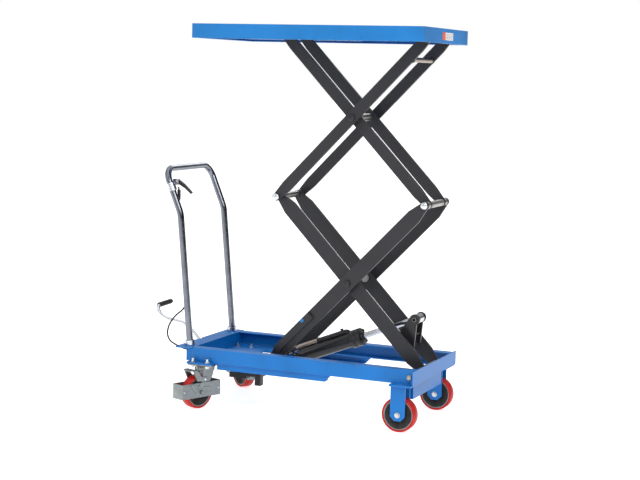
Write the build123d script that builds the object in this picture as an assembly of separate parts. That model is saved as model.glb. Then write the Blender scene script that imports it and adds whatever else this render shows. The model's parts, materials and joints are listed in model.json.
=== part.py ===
from build123d import *
import math
import os

# Hydraulic double-scissor lift table, raised. Millimetres, +Z up, +X towards the two fixed
# front casters. The origin is on the floor, under the middle of the deck.

# Driving dimensions: deck
DECK_LENGTH = 905
DECK_WIDTH = 500
DECK_SKIRT = 53
DECK_SHEET = 3
DECK_LIP = 12

# Scissor: both stages have arms of one length, from pivot to pivot
ARM_LENGTH = 844
ARM_ANGLE = 46.1
ARM_THICK = 10
LOWER_WIDTH = 55
UPPER_WIDTH = 42
TIP_RADIUS = 15
TAPER = 58
INNER_Y = 77
OUTER_Y = 112
FRONT_PIVOT_X = 430
BASE_PIVOT_Z = 202
PIVOT_BELOW_DECK = 25.5

# Base frame
RAIL_OUT_Y = 218
RAIL_FLANGE = 38
RAIL_LOW_Z = 176
RAIL_TOP_Z = 228
RAIL_SHEET = 4
REAR_WEB_X = -445
REAR_EDGE_X = -513
FRONT_X = 452.5
PLATE_THICK = 6

# Wheels and casters
WHEEL_RADIUS = 63.5
HUB_RADIUS = 55.5
WHEEL_WIDTH = 38
CASTER_Y = 190
CASTER_X = -403
CASTER_TRAIL = 40
CASTER_HEADINGS = {"near": (-1, 68), "far": (1, -34)}
RIGID_X = 393
RIGID_Y = 205

# Hydraulics: the ram stands between a saddle in the base and a lever on the lower inner arms
RAM_FOOT = (-112, 184)
LEVER_ALONG = 165
LEVER_OUT = 87
RAM_RADIUS = 27
RAM_BORE = 22
ROD_RADIUS = 11
RAM_PIN_RADIUS = 8

# Handle and cable
POST_Y = 180
TUBE_RADIUS = 12.5
CABLE_RADIUS = 3

# Clearances, radial
RUNNING = 0.05
GAP = 0.3

# Derived places of the scissor's pivots, as (x, z)
RUN = ARM_LENGTH * math.cos(math.radians(ARM_ANGLE))
RISE = ARM_LENGTH * math.sin(math.radians(ARM_ANGLE))
BACK_PIVOT_X = FRONT_PIVOT_X - RUN
CENTRE_X = FRONT_PIVOT_X - RUN / 2
MID_Z = BASE_PIVOT_Z + RISE
TOP_Z = BASE_PIVOT_Z + 2 * RISE
LOW_CENTRE_Z = BASE_PIVOT_Z + RISE / 2
HIGH_CENTRE_Z = MID_Z + RISE / 2
DECK_TOP_Z = TOP_Z + PIVOT_BELOW_DECK
INNER_FACE = INNER_Y + ARM_THICK / 2
OUTER_FACE = OUTER_Y + ARM_THICK / 2


# Shared shapes
def block(x0, x1, y0, y1, z0, z1):
    return Pos((x0 + x1) / 2, (y0 + y1) / 2, (z0 + z1) / 2) * Box(x1 - x0, y1 - y0, z1 - z0)


def side_plane(x, y, z, angle=0):
    """A plane that faces -Y, with its own X axis raised by angle from +X."""
    turn = math.radians(angle)
    return Plane(origin=(x, y, z), x_dir=(math.cos(turn), 0, math.sin(turn)), z_dir=(0, -1, 0))


def between(start, end, radius):
    """A round bar from one point to another."""
    along = Vector(*end) - Vector(*start)
    return extrude(Plane(origin=start, z_dir=along) * Circle(radius), amount=along.length)


def across(x, z, y0, y1, radius):
    """A round bar along Y."""
    return between((x, y0, z), (x, y1, z), radius)


def stepped(x, z, steps):
    """Coaxial round steps along Y, each (y0, y1, radius), as one piece."""
    piece = across(x, z, *steps[0])
    for step in steps[1:]:
        piece += across(x, z, *step)
    return piece


def dome(x, z, side, y_face, radius, height):
    """A pin head with a rounded rim, standing out from a face on one side."""
    head = across(x, z, side * y_face, side * (y_face + height), radius)
    rims = head.edges().filter_by(GeomType.CIRCLE).sort_by(Axis.Y)
    rim = rims[-1] if side > 0 else rims[0]
    return fillet(rim, height * 0.7)


def pair(shape):
    """A shape and its mirror image on the other side of the centre plane."""
    return [shape, mirror(shape, about=Plane.XZ)]


def save(node, shapes):
    solids = []
    for shape in shapes:
        solids += list(shape.solids())
    whole = Compound(solids) if len(solids) > 1 else solids[0]
    whole.label = node
    export_step(whole, f"parts/{node}.step")


# Scissor arms
def arm(x, z, angle, width, y, bores):
    """One flat arm with tapered ends and round tips, its bores at distances along it."""
    half = width / 2
    points = [(0, -TIP_RADIUS), (TAPER, -half), (ARM_LENGTH - TAPER, -half), (ARM_LENGTH, -TIP_RADIUS)]
    points += [(along, -across_it) for along, across_it in reversed(points)]
    profile = Polygon(*points, align=None) + Circle(TIP_RADIUS) + Pos(ARM_LENGTH, 0) * Circle(TIP_RADIUS)
    for distance, radius in bores:
        profile -= Pos(distance, 0) * Circle(radius)
    return extrude(side_plane(x, y, z, angle) * profile, amount=ARM_THICK / 2, both=True)


def arm_pair(x, z, angle, width, y, bores):
    return pair(arm(x, z, angle, width, -y, bores))


FIXED_SHAFT = 12.5
FIXED_STUB = 8
PIN = 10
MID_PIN = 9


def build_arms():
    middle = ARM_LENGTH / 2
    falling = 180 - ARM_ANGLE
    fit = RUNNING
    save("lower_inner_arms", arm_pair(
        FRONT_PIVOT_X, BASE_PIVOT_Z, falling, LOWER_WIDTH, INNER_Y,
        [(0, FIXED_SHAFT + fit), (middle, PIN + fit), (ARM_LENGTH, MID_PIN + fit),
         (LEVER_TUBE_ALONG, LEVER_TUBE_RADIUS + fit)]))
    save("lower_outer_arms", arm_pair(
        BACK_PIVOT_X, BASE_PIVOT_Z, ARM_ANGLE, LOWER_WIDTH, OUTER_Y,
        [(0, PIN + fit), (middle, PIN + fit), (ARM_LENGTH, MID_PIN + fit)]))
    save("upper_outer_arms", arm_pair(
        BACK_PIVOT_X, MID_Z, ARM_ANGLE, UPPER_WIDTH, OUTER_Y,
        [(0, MID_PIN + fit), (middle, PIN + fit), (ARM_LENGTH, PIN + fit)]))
    save("upper_inner_arms", arm_pair(
        FRONT_PIVOT_X, MID_Z, falling, UPPER_WIDTH, INNER_Y,
        [(0, MID_PIN + fit), (middle, PIN + fit), (ARM_LENGTH, PIN + fit)]))


# Shafts and pins of the scissor
SPACER_IN = INNER_FACE + GAP
SPACER_OUT = OUTER_Y - ARM_THICK / 2 - GAP
TUBE_END = INNER_Y - ARM_THICK / 2 - GAP


def spacers(radius):
    return [(-SPACER_OUT, -SPACER_IN, radius), (SPACER_IN, SPACER_OUT, radius)]


def build_fixed_pivot():
    head_y = RAIL_OUT_Y + 8
    thick = RAIL_OUT_Y - RAIL_SHEET - 1
    steps = [(-head_y, head_y, FIXED_STUB), (-thick, thick, FIXED_SHAFT), (-TUBE_END, TUBE_END, 17)]
    steps += [(-100, -SPACER_IN, 16), (SPACER_IN, 100, 16)]
    shaft = stepped(FRONT_PIVOT_X, BASE_PIVOT_Z, steps)
    for side in (-1, 1):
        shaft += dome(FRONT_PIVOT_X, BASE_PIVOT_Z, side, RAIL_OUT_Y + GAP, 11, 8)
    save("fixed_pivot_shaft", [shaft])


def mid_shaft(node, x, z, tube_radius):
    """A cross shaft with a tube between the inner arms and a domed head outside each outer arm."""
    steps = [(-OUTER_FACE - 2, OUTER_FACE + 2, MID_PIN), (-TUBE_END, TUBE_END, tube_radius)]
    shaft = stepped(x, z, steps + spacers(14))
    for side in (-1, 1):
        shaft += dome(x, z, side, OUTER_FACE + GAP, 13, 8)
    save(node, [shaft])


def build_shafts():
    mid_shaft("left_mid_shaft", BACK_PIVOT_X, MID_Z, 13)
    mid_shaft("right_mid_shaft", FRONT_PIVOT_X, MID_Z, 13)
    pins = []
    for side in (-1, 1):
        low, high = sorted((side * (TUBE_END - 6), side * (OUTER_FACE + 2)))
        pin = across(CENTRE_X, LOW_CENTRE_Z, low, high, PIN)
        inner = sorted((side * (TUBE_END - 6), side * TUBE_END))
        pin += across(CENTRE_X, LOW_CENTRE_Z, inner[0], inner[1], 16)
        outer = sorted((side * SPACER_IN, side * SPACER_OUT))
        pin += across(CENTRE_X, LOW_CENTRE_Z, outer[0], outer[1], 16)
        pin += dome(CENTRE_X, LOW_CENTRE_Z, side, OUTER_FACE + GAP, 13, 7)
        pins.append(pin)
    save("lower_centre_pins", pins)
    steps = [(-OUTER_FACE - 2, OUTER_FACE + 2, PIN), (-TUBE_END, TUBE_END, 15)]
    shaft = stepped(CENTRE_X, HIGH_CENTRE_Z, steps + spacers(15))
    for side in (-1, 1):
        shaft += dome(CENTRE_X, HIGH_CENTRE_Z, side, OUTER_FACE + GAP, 13, 7)
    save("upper_centre_shaft", [shaft])
    build_tie_bar()
    lug_out = LUG_Y + LUG_THICK + GAP
    steps = [(-lug_out - 4, lug_out + 4, PIN), (-lug_out - 4, -lug_out, 14), (lug_out, lug_out + 4, 14)]
    tube = OUTER_Y - ARM_THICK / 2 - GAP
    save("deck_pivot_shaft", [stepped(FRONT_PIVOT_X, TOP_Z, steps + [(-tube, tube, 12)])])
    end = FOOT_ROLLER_Y + ROLLER_WIDTH / 2 + 2
    steps = [(-end, end, PIN), (-SPACER_OUT, SPACER_OUT, 12)]
    for side in (-1, 1):
        collar = sorted((side * (OUTER_FACE + GAP), side * (OUTER_FACE + 4)))
        steps.append((collar[0], collar[1], 15))
    save("foot_axle", [stepped(BACK_PIVOT_X, BASE_PIVOT_Z, steps)])
    end = TOP_ROLLER_Y + ROLLER_WIDTH / 2 + 3
    steps = [(-end, end, PIN), (-TUBE_END, TUBE_END, 12)]
    for side in (-1, 1):
        collar = sorted((side * SPACER_IN, side * (SPACER_IN + 5)))
        steps.append((collar[0], collar[1], 14))
    save("top_axle", [stepped(BACK_PIVOT_X, TOP_Z, steps)])


TIE_ALONG = 732
TIE_DROP = 12
TIE_RADIUS = 9


def build_tie_bar():
    """A round bar that ties the two upper outer arms together, near the deck."""
    turn = math.radians(ARM_ANGLE)
    x = BACK_PIVOT_X + TIE_ALONG * math.cos(turn) + TIE_DROP * math.sin(turn)
    z = MID_Z + TIE_ALONG * math.sin(turn) - TIE_DROP * math.cos(turn)
    reach = OUTER_Y - ARM_THICK / 2
    save("upper_tie_bar", [across(x, z, -reach, reach, TIE_RADIUS)])


# Rollers
ROLLER_WIDTH = 20
FOOT_ROLLER_Y = 199
FOOT_ROLLER_RADIUS = 21.7
TOP_ROLLER_Y = 146
TOP_ROLLER_RADIUS = 17


def roller(x, y, z, radius):
    half = ROLLER_WIDTH / 2
    wheel = across(x, z, y - half, y + half, radius)
    wheel = chamfer(wheel.edges().filter_by(GeomType.CIRCLE), 1.5)
    return wheel - across(x, z, y - half - 1, y + half + 1, PIN + RUNNING)


def build_rollers():
    for side, name in ((-1, "near"), (1, "far")):
        foot = roller(BACK_PIVOT_X, side * FOOT_ROLLER_Y, BASE_PIVOT_Z, FOOT_ROLLER_RADIUS)
        save(f"foot_roller_{name}", [foot])
        top = roller(BACK_PIVOT_X, side * TOP_ROLLER_Y, TOP_Z, TOP_ROLLER_RADIUS)
        save(f"top_roller_{name}", [top])


# Deck
LUG_Y = 119.5
LUG_THICK = 6
LUG_RADIUS = 17
TRACK_OUT_Y = 172
TRACK_IN_Y = 132


def build_deck():
    half_x, half_y = DECK_LENGTH / 2, DECK_WIDTH / 2
    low, under = DECK_TOP_Z - DECK_SKIRT, DECK_TOP_Z - DECK_SHEET
    inner_x, inner_y = half_x - DECK_SHEET, half_y - DECK_SHEET
    pan = block(-half_x, half_x, -half_y, half_y, low, DECK_TOP_Z)
    pan -= block(-inner_x, inner_x, -inner_y, inner_y, low + DECK_SHEET, under)
    open_x, open_y = inner_x - DECK_LIP, inner_y - DECK_LIP
    pan -= block(-open_x, open_x, -open_y, open_y, low - 1, low + DECK_SHEET + 1)
    pan = fillet(pan.edges().filter_by(Axis.Z).group_by(SortBy.LENGTH)[-1], 4)
    save("deck_pan", [pan])

    floor = TOP_Z - TOP_ROLLER_RADIUS - GAP
    track = block(-438, 60, TRACK_IN_Y, TRACK_OUT_Y, floor - DECK_SHEET, floor)
    track += block(-438, 60, TRACK_OUT_Y - DECK_SHEET, TRACK_OUT_Y, floor - DECK_SHEET, under)
    lug = block(FRONT_PIVOT_X - 26, FRONT_PIVOT_X + 17, LUG_Y, LUG_Y + LUG_THICK, TOP_Z, under)
    lug += across(FRONT_PIVOT_X, TOP_Z, LUG_Y, LUG_Y + LUG_THICK, LUG_RADIUS)
    lug -= across(FRONT_PIVOT_X, TOP_Z, LUG_Y - 1, LUG_Y + LUG_THICK + 1, PIN + RUNNING)
    save("deck_tracks_and_lugs", pair(track) + pair(lug))


# Base frame
def build_rails():
    for side, name in ((-1, "near"), (1, "far")):
        inner = RAIL_OUT_Y - RAIL_FLANGE
        rail = block(REAR_WEB_X + GAP, FRONT_X - 4.8, inner, RAIL_OUT_Y, RAIL_LOW_Z, RAIL_TOP_Z)
        rail -= block(REAR_WEB_X, FRONT_X, inner - 1, RAIL_OUT_Y - RAIL_SHEET,
                      RAIL_LOW_Z + RAIL_SHEET, RAIL_TOP_Z - RAIL_SHEET)
        rail -= across(FRONT_PIVOT_X, BASE_PIVOT_Z, inner, RAIL_OUT_Y + 1, FIXED_STUB + RUNNING)
        save(f"side_rail_{name}", [rail if side > 0 else mirror(rail, about=Plane.XZ)])


def build_ends():
    plate = block(FRONT_X - 4.5, FRONT_X, -243, 243, RAIL_LOW_Z, RAIL_TOP_Z)
    save("front_end_plate", [fillet(plate.edges().filter_by(Axis.X), 3)])

    angle = block(421, 425, -FRONT_BAND_Y, FRONT_BAND_Y, 112, RAIL_LOW_Z - PLATE_THICK)
    angle += block(392, 421, -FRONT_BAND_Y, FRONT_BAND_Y, 112, 116)
    for side in (-1, 1):
        web = sorted((side * FRONT_BAND_Y, side * (FRONT_BAND_Y - 4)))
        angle += block(392, 421, web[0], web[1], 112, RAIL_LOW_Z - PLATE_THICK)
    save("front_cross_member", [angle])

    top_z = RAIL_TOP_Z - RAIL_SHEET
    reach = RAIL_OUT_Y + 14
    member = block(REAR_EDGE_X, REAR_WEB_X, -reach, reach, top_z, RAIL_TOP_Z)
    member = fillet(member.edges().filter_by(Axis.Z), 9)
    member += block(REAR_WEB_X - 4, REAR_WEB_X, -RAIL_OUT_Y, RAIL_OUT_Y, RAIL_LOW_Z, top_z)
    for side in (-1, 1):
        cheek = sorted((side * (RAIL_OUT_Y - RAIL_SHEET), side * RAIL_OUT_Y))
        member += block(CHEEK_X, REAR_WEB_X - 4, cheek[0], cheek[1], RAIL_LOW_Z, top_z)
    member -= cable_tube(cable_line(), CABLE_RADIUS + 1.5)
    member -= block(REAR_EDGE_X - 1, REAR_EDGE_X + 9, PEDAL_Y - 11, PEDAL_Y + 11, top_z - 1, RAIL_TOP_Z + 1)
    save("rear_cross_member", [member])


TRAY_LOW_Z = 150
TRAY_LEFT_X = -345
TRAY_RIGHT_X = 98


def build_tray():
    """The pump tray: a floor at the back and two folded skirts that hang under the rails."""
    top, low = RAIL_LOW_Z, TRAY_LOW_Z
    floor = block(-352, -300, -RAIL_OUT_Y + 6, RAIL_OUT_Y - 6, top - PLATE_THICK, top)
    floor += block(REAR_WEB_X - 14, -352, -CASTER_PLATE_IN + GAP, CASTER_PLATE_IN - GAP, top - PLATE_THICK, top)
    outline = Polygon((TRAY_LEFT_X, low), (TRAY_RIGHT_X, low), (TRAY_RIGHT_X + 24, top), (TRAY_LEFT_X, top),
                      align=None)
    for side in (-1, 1):
        web = extrude(side_plane(0, side * 204, 0) * outline, amount=2, both=True)
        lip = sorted((side * 172, side * 206))
        floor += web + block(-300, TRAY_RIGHT_X - 1, lip[0], lip[1], low, low + 3)
        wing = sorted((side * (OUTER_FACE + 16), side * (RAIL_OUT_Y - 6)))
        floor += block(-301, -240, wing[0], wing[1], top - PLATE_THICK, top)
    save("pump_tray", [floor])


CASTER_PLATE_IN = 140
CHEEK_X = -470
BOLT_X = 30
BOLT_Y = 42
RIGID_PLATE = (362, 447)
FRONT_BAND_Y = 158


def build_caster_plates():
    top, low = RAIL_LOW_Z, RAIL_LOW_Z - PLATE_THICK
    rear = block(-457, -352.3, CASTER_PLATE_IN, DECK_WIDTH / 2, low, top)
    rear = fillet(rear.edges().filter_by(Axis.Z), 12)
    front = block(RIGID_PLATE[0], RIGID_PLATE[1], 138, DECK_WIDTH / 2, low, top)
    front = fillet(front.edges().filter_by(Axis.Z), 4)
    for x in (CASTER_X - BOLT_X, CASTER_X + BOLT_X):
        for y in (CASTER_Y - BOLT_Y, CASTER_Y + BOLT_Y):
            rear -= Pos(x, y, low) * Cylinder(5.2, 3 * PLATE_THICK)
    save("caster_plates", pair(rear) + pair(front))


def build_bolts():
    """Caster bolts with nuts, and the bolts that are the fixed wheels' axles."""
    bolts = []
    head_z = RAIL_LOW_Z + GAP
    for x in (CASTER_X - BOLT_X, CASTER_X + BOLT_X):
        for y in (CASTER_Y - BOLT_Y, CASTER_Y + BOLT_Y):
            nut = extrude(Plane.XY.offset(head_z) * Pos(x, y) * RegularPolygon(8, 6), amount=6)
            shank = between((x, y, RAIL_LOW_Z - 2 * PLATE_THICK - 8), (x, y, RAIL_LOW_Z + 15), 5)
            head = extrude(Plane.XY.offset(RAIL_LOW_Z - 2 * PLATE_THICK - 8) * Pos(x, y) * RegularPolygon(8, 6),
                           amount=7)
            bolts += pair(nut + shank + head)
    for side in (-1, 1):
        y = side * RIGID_Y
        half = WHEEL_WIDTH / 2 + 9
        axle = across(RIGID_X, WHEEL_RADIUS, y - half - 2, y + half + 2, 6)
        for end in (-1, 1):
            face = Plane(origin=(RIGID_X, y + end * (half + GAP), WHEEL_RADIUS), z_dir=(0, end, 0))
            axle += extrude(face * RegularPolygon(8, 6), amount=6)
        bolts.append(axle)
    save("chassis_bolts", bolts)


# Fixed front casters
def rigid_fork(side):
    y = side * RIGID_Y
    top = RAIL_LOW_Z - PLATE_THICK - 0.1
    leg = Polygon((-28, top), (28, top), (28, 58), (12, 42), (-12, 42), (-28, 58), align=None)
    gap = WHEEL_WIDTH / 2 + 3
    fork = block(RIGID_X - 28, RIGID_X + 28, y - gap - 5, y + gap + 5, top - 5, top)
    for end in (-1, 1):
        plane = side_plane(RIGID_X, y + end * (gap + 2.5), 0)
        fork += extrude(plane * leg, amount=2.5, both=True)
    return fork - across(RIGID_X, WHEEL_RADIUS, y - gap - 6, y + gap + 6, 6.1)


def wheel(centre, angle):
    """A cast hub with a bearing bore and a moulded tread, its axle at angle from +Y."""
    face = Plane(origin=centre, x_dir=(0, 0, 1), z_dir=(-math.sin(math.radians(angle)),
                                                      math.cos(math.radians(angle)), 0))
    half = WHEEL_WIDTH / 2
    hub = extrude(face * Circle(HUB_RADIUS), amount=half - 2, both=True)
    for end in (-1, 1):
        dish = face.offset(end * (half - 2))
        hub -= extrude(dish * (Circle(HUB_RADIUS - 4) - Circle(16)), amount=-end * 7)
    hub -= extrude(face * Circle(6.1), amount=half + 1, both=True)
    tread = extrude(face * (Circle(WHEEL_RADIUS) - Circle(HUB_RADIUS)), amount=half, both=True)
    rims = tread.edges().filter_by(GeomType.CIRCLE).filter_by(lambda edge: edge.radius > HUB_RADIUS + 1)
    return hub, fillet(rims, 5)


def build_rigid_casters():
    save("rigid_forks", [rigid_fork(-1), rigid_fork(1)])
    for side, name in ((-1, "near"), (1, "far")):
        hub, tread = wheel((RIGID_X, side * RIGID_Y, WHEEL_RADIUS), 0)
        save(f"front_hub_{name}", [hub])
        save(f"front_tread_{name}", [tread])


# Swivel casters with brakes and toe guards. Each is drawn with its swivel axis at the origin
# and its wheel behind, then turned to its heading.
CASTER_TOP = RAIL_LOW_Z - PLATE_THICK
BRAKE_PIVOT = (-22, 112)
FORK_GAP = WHEEL_WIDTH / 2 + 3
STAR_THICK = 2
GUARD_LENGTH = 188
GUARD_LOW_Z = 45
GUARD_TOP_Z = 101


def swivel_head():
    plate = block(-52, 52, -52, 52, CASTER_TOP - 6, CASTER_TOP - 0.1)
    plate = fillet(plate.edges().filter_by(Axis.Z), 8)
    for x in (-BOLT_X, BOLT_X):
        for y in (-BOLT_Y, BOLT_Y):
            plate -= Pos(x, y, CASTER_TOP) * Cylinder(5.2, 30)
    race = Pos(0, 0, CASTER_TOP - 11) * Cone(34, 28, 10)
    king = between((0, 0, CASTER_TOP - 30), (0, 0, CASTER_TOP - 6), 7)
    nut = extrude(Plane.XY.offset(CASTER_TOP - 33) * RegularPolygon(11, 6), amount=7)
    return plate + race + king + nut


def swivel_fork():
    crown_top = CASTER_TOP - 16 - GAP
    crown = between((0, 0, crown_top - 9), (0, 0, crown_top), 36)
    crown -= between((0, 0, crown_top - 10), (0, 0, crown_top + 1), 7 + RUNNING)
    trail = -CASTER_TRAIL
    leg = Polygon((-30, crown_top - 1), (26, crown_top - 1), (14, 118), (trail + 15, 62), (trail + 9, 50),
                  (trail - 9, 50), (trail - 15, 62), (-34, 112), align=None)
    for end in (-1, 1):
        crown += extrude(side_plane(0, end * (FORK_GAP + 1.75), 0) * leg, amount=1.75, both=True)
    reach = FORK_GAP + 5
    crown -= across(trail, WHEEL_RADIUS, -reach, reach, 6.1)
    pivot_x, pivot_z = BRAKE_PIVOT
    crown += across(pivot_x, pivot_z, -FORK_GAP - 7, -FORK_GAP, 4)
    crown += across(pivot_x, pivot_z, FORK_GAP, FORK_GAP + 7, 4)
    return crown


def swivel_axle():
    reach = FORK_GAP + 3.5 + GAP + 3 + STAR_THICK + GAP
    axle = across(-CASTER_TRAIL, WHEEL_RADIUS, -reach - 2, reach + 2, 6)
    for end in (-1, 1):
        face = Plane(origin=(-CASTER_TRAIL, end * reach, WHEEL_RADIUS), z_dir=(0, end, 0))
        axle += extrude(face * RegularPolygon(9, 6), amount=7)
    return axle


def toe_guard():
    """A rectangular sheet band round the wheel, held on the axle by a star-shaped plate on each side."""
    inside = FORK_GAP + 3.5 + GAP
    outside = inside + 3
    centre = -CASTER_TRAIL
    reach = GUARD_LENGTH / 2
    band = block(centre - reach, centre + reach, -outside, outside, GUARD_LOW_Z, GUARD_TOP_Z)
    band = fillet(band.edges().filter_by(Axis.Z), 3)
    band -= block(centre - reach + 3, centre + reach - 3, -inside, inside, GUARD_LOW_Z - 1, GUARD_TOP_Z + 1)
    star = Polygon((centre - 58, 98), (centre - 36, 98), (centre - 14, 88), (centre - 8, 100), (centre + 6, 100),
                   (centre + 12, 84), (centre + 44, 82), (centre + 60, 64), (centre + 22, 52), (centre, 47),
                   (centre - 24, 56), (centre - 44, 78), align=None)
    for end in (-1, 1):
        band += extrude(side_plane(0, end * (outside + STAR_THICK / 2), 0) * star, amount=STAR_THICK / 2, both=True)
    return band - across(centre, WHEEL_RADIUS, -outside - 4, outside + 4, 6.1)


def brake_pedal():
    """A tread plate above the wheel, on a cheek down each side of the fork."""
    pivot_x, pivot_z = BRAKE_PIVOT
    cheek_y = FORK_GAP + 3.5 + GAP
    reach = cheek_y + 3
    cheek = Polygon((pivot_x + 9, pivot_z - 7), (pivot_x + 9, pivot_z + 8), (-40, 122), (-62, 150), (-80, 150),
                    (-80, 144), (-62, 108), (pivot_x - 6, pivot_z - 8), align=None)
    plate = Polygon((-62, -reach), (-62, reach), (-80, reach), (-93, reach - 14), (-93, 14 - reach),
                    (-80, -reach), align=None)
    pedal = extrude(Plane.XY.offset(147) * plate, amount=3)
    for end in (-1, 1):
        pedal += extrude(side_plane(0, end * (cheek_y + 1.5), 0) * cheek, amount=1.5, both=True)
    return pedal - across(pivot_x, pivot_z, -cheek_y - 4, cheek_y + 4, 4 + RUNNING)


def build_swivel_casters():
    heads = []
    for name, (side, heading) in CASTER_HEADINGS.items():
        place = Pos(CASTER_X, side * CASTER_Y, 0)
        turned = place * Rot(0, 0, heading)
        heads.append(place * swivel_head())
        save(f"swivel_fork_{name}", [turned * swivel_fork(), turned * swivel_axle()])
        save(f"toe_guard_{name}", [turned * toe_guard()])
        save(f"brake_pedal_{name}", [turned * brake_pedal()])
        hub, tread = wheel((-CASTER_TRAIL, 0, WHEEL_RADIUS), 0)
        save(f"rear_hub_{name}", [turned * hub])
        save(f"rear_tread_{name}", [turned * tread])
    save("swivel_heads", heads)


# Ram: its points are measured along its axis from the foot pin
def arm_point(along, out):
    """A point beside the lower inner arm, from the fixed pivot along the arm and out from it."""
    turn = math.radians(ARM_ANGLE)
    x = FRONT_PIVOT_X - along * math.cos(turn) + out * math.sin(turn)
    return x, BASE_PIVOT_Z + along * math.sin(turn) + out * math.cos(turn)


ROD_PIN = arm_point(LEVER_ALONG, LEVER_OUT)
RAM_LENGTH = math.dist(ROD_PIN, RAM_FOOT)
RAM_TILT = math.degrees(math.atan2(ROD_PIN[1] - RAM_FOOT[1], ROD_PIN[0] - RAM_FOOT[0]))
BARREL_START = 36
BARREL_END = 272
CAP_LENGTH = 30
EYE_RADIUS = 18
LEVER_TUBE_ALONG = 124
LEVER_TUBE_RADIUS = 16
EAR_Y = 30
EAR_THICK = 8


def ram_point(along, above=0, y=0):
    turn = math.radians(RAM_TILT)
    x = RAM_FOOT[0] + along * math.cos(turn) - above * math.sin(turn)
    return x, y, RAM_FOOT[1] + along * math.sin(turn) + above * math.cos(turn)


def ram_bar(start, end, radius, above=0):
    return between(ram_point(start, above), ram_point(end, above), radius)


def build_ram():
    foot_x, foot_z = RAM_FOOT
    barrel = ram_bar(BARREL_START, BARREL_END, RAM_RADIUS)
    barrel -= ram_bar(BARREL_START + 10, BARREL_END + 1, RAM_BORE + RUNNING)
    barrel += across(foot_x, foot_z, -18, 18, 16)
    barrel += ram_bar(8, BARREL_START + 1, 16)
    barrel += across(foot_x, foot_z, -42, 42, 8)
    save("ram_barrel", [barrel])

    cap = ram_bar(BARREL_END + 0.1, BARREL_END + CAP_LENGTH - 8, 34)
    cap += ram_bar(BARREL_END + CAP_LENGTH - 8, BARREL_END + CAP_LENGTH, 20)
    cap -= ram_bar(BARREL_END - 2, BARREL_END + CAP_LENGTH + 2, ROD_RADIUS + RUNNING)
    flange = ram_bar(BARREL_END - 22, BARREL_END, 34) - ram_bar(BARREL_END - 23, BARREL_END + 1, RAM_RADIUS + 0.1)
    pipe = ram_bar(18, BARREL_END - 24, 9, RAM_RADIUS + 9.3)
    pipe += between(ram_point(222, RAM_RADIUS + 14), ram_point(222, RAM_RADIUS + 24), 5)
    save("ram_cap_and_pipe", [cap, flange, pipe])

    piston_at = BARREL_END - 32
    rod = ram_bar(piston_at, RAM_LENGTH - EYE_RADIUS + 4, ROD_RADIUS) + ram_bar(piston_at, piston_at + 18, RAM_BORE)
    eye_x, eye_z = ROD_PIN
    rod += across(eye_x, eye_z, -22, 22, EYE_RADIUS)
    rod -= across(eye_x, eye_z, -23, 23, RAM_PIN_RADIUS + RUNNING)
    save("piston_rod", [rod])


def build_lever():
    """The lever on the lower inner arms: a cross tube with two ears that hold the rod's pin."""
    tube_x, tube_z = arm_point(LEVER_TUBE_ALONG, 0)
    reach = INNER_FACE
    lever = across(tube_x, tube_z, -reach, reach, LEVER_TUBE_RADIUS)
    eye_x, eye_z = ROD_PIN
    for side in (-1, 1):
        plane = side_plane(0, side * (EAR_Y + EAR_THICK / 2), 0)
        wedge = [arm_point(LEVER_TUBE_ALONG - 45, 4), arm_point(LEVER_TUBE_ALONG + 40, 4),
                 arm_point(LEVER_ALONG + 19, LEVER_OUT - 6), arm_point(LEVER_ALONG - 19, LEVER_OUT - 6)]
        ear = Polygon(*wedge, align=None) + Pos(eye_x, eye_z) * Circle(20)
        ear -= Pos(eye_x, eye_z) * Circle(RAM_PIN_RADIUS + RUNNING)
        lever += extrude(plane * ear, amount=EAR_THICK / 2, both=True)
    save("ram_lever", [lever])
    out = EAR_Y + EAR_THICK + 1
    pin = across(eye_x, eye_z, -out - 5, out + 5, RAM_PIN_RADIUS)
    pin += dome(eye_x, eye_z, -1, out - 1 + GAP, 9, 4) + dome(eye_x, eye_z, 1, out - 1 + GAP, 9, 4)
    save("ram_lever_pin", [pin])


SADDLE_BACK = 19
SADDLE_FRONT = 11


def build_saddle():
    """A cross bar with two open-topped ears that carry the ram's foot pin."""
    x, z = RAM_FOOT
    bar = block(x - 27, x + 24, -171.7, 171.7, TRAY_LOW_Z, TRAY_LOW_Z + 5)
    for side in (-1, 1):
        y0, y1 = sorted((side * 22, side * 30))
        ear = block(x - 26, x + 22, y0, y1, TRAY_LOW_Z + 4, z + 26)
        ear -= across(x, z, y0 - 1, y1 + 1, 8 + GAP)
        ear -= block(x - SADDLE_BACK, x + SADDLE_FRONT, y0 - 1, y1 + 1, z - 3, z + 40)
        bar += ear
    save("ram_saddle", [bar])


# Pump with its pedal and valve
PEDAL_Y = -25
PEDAL_PIVOT = (-330, 128)
PLUNGER_X = -358
VALVE_PIVOT = (-262, 112)
PEDAL_ROUTE = [(-338, 128), (-440, 141), (-474, 163), (-516, 222), (-548, 255), (-590, 284), (-655, 292),
               (-695, 308), (-706, 341)]
PEDAL_RADII = [30, 30, 60, 90, 45, 45, 35, 22]
GRIP_LENGTH = 100


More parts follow.
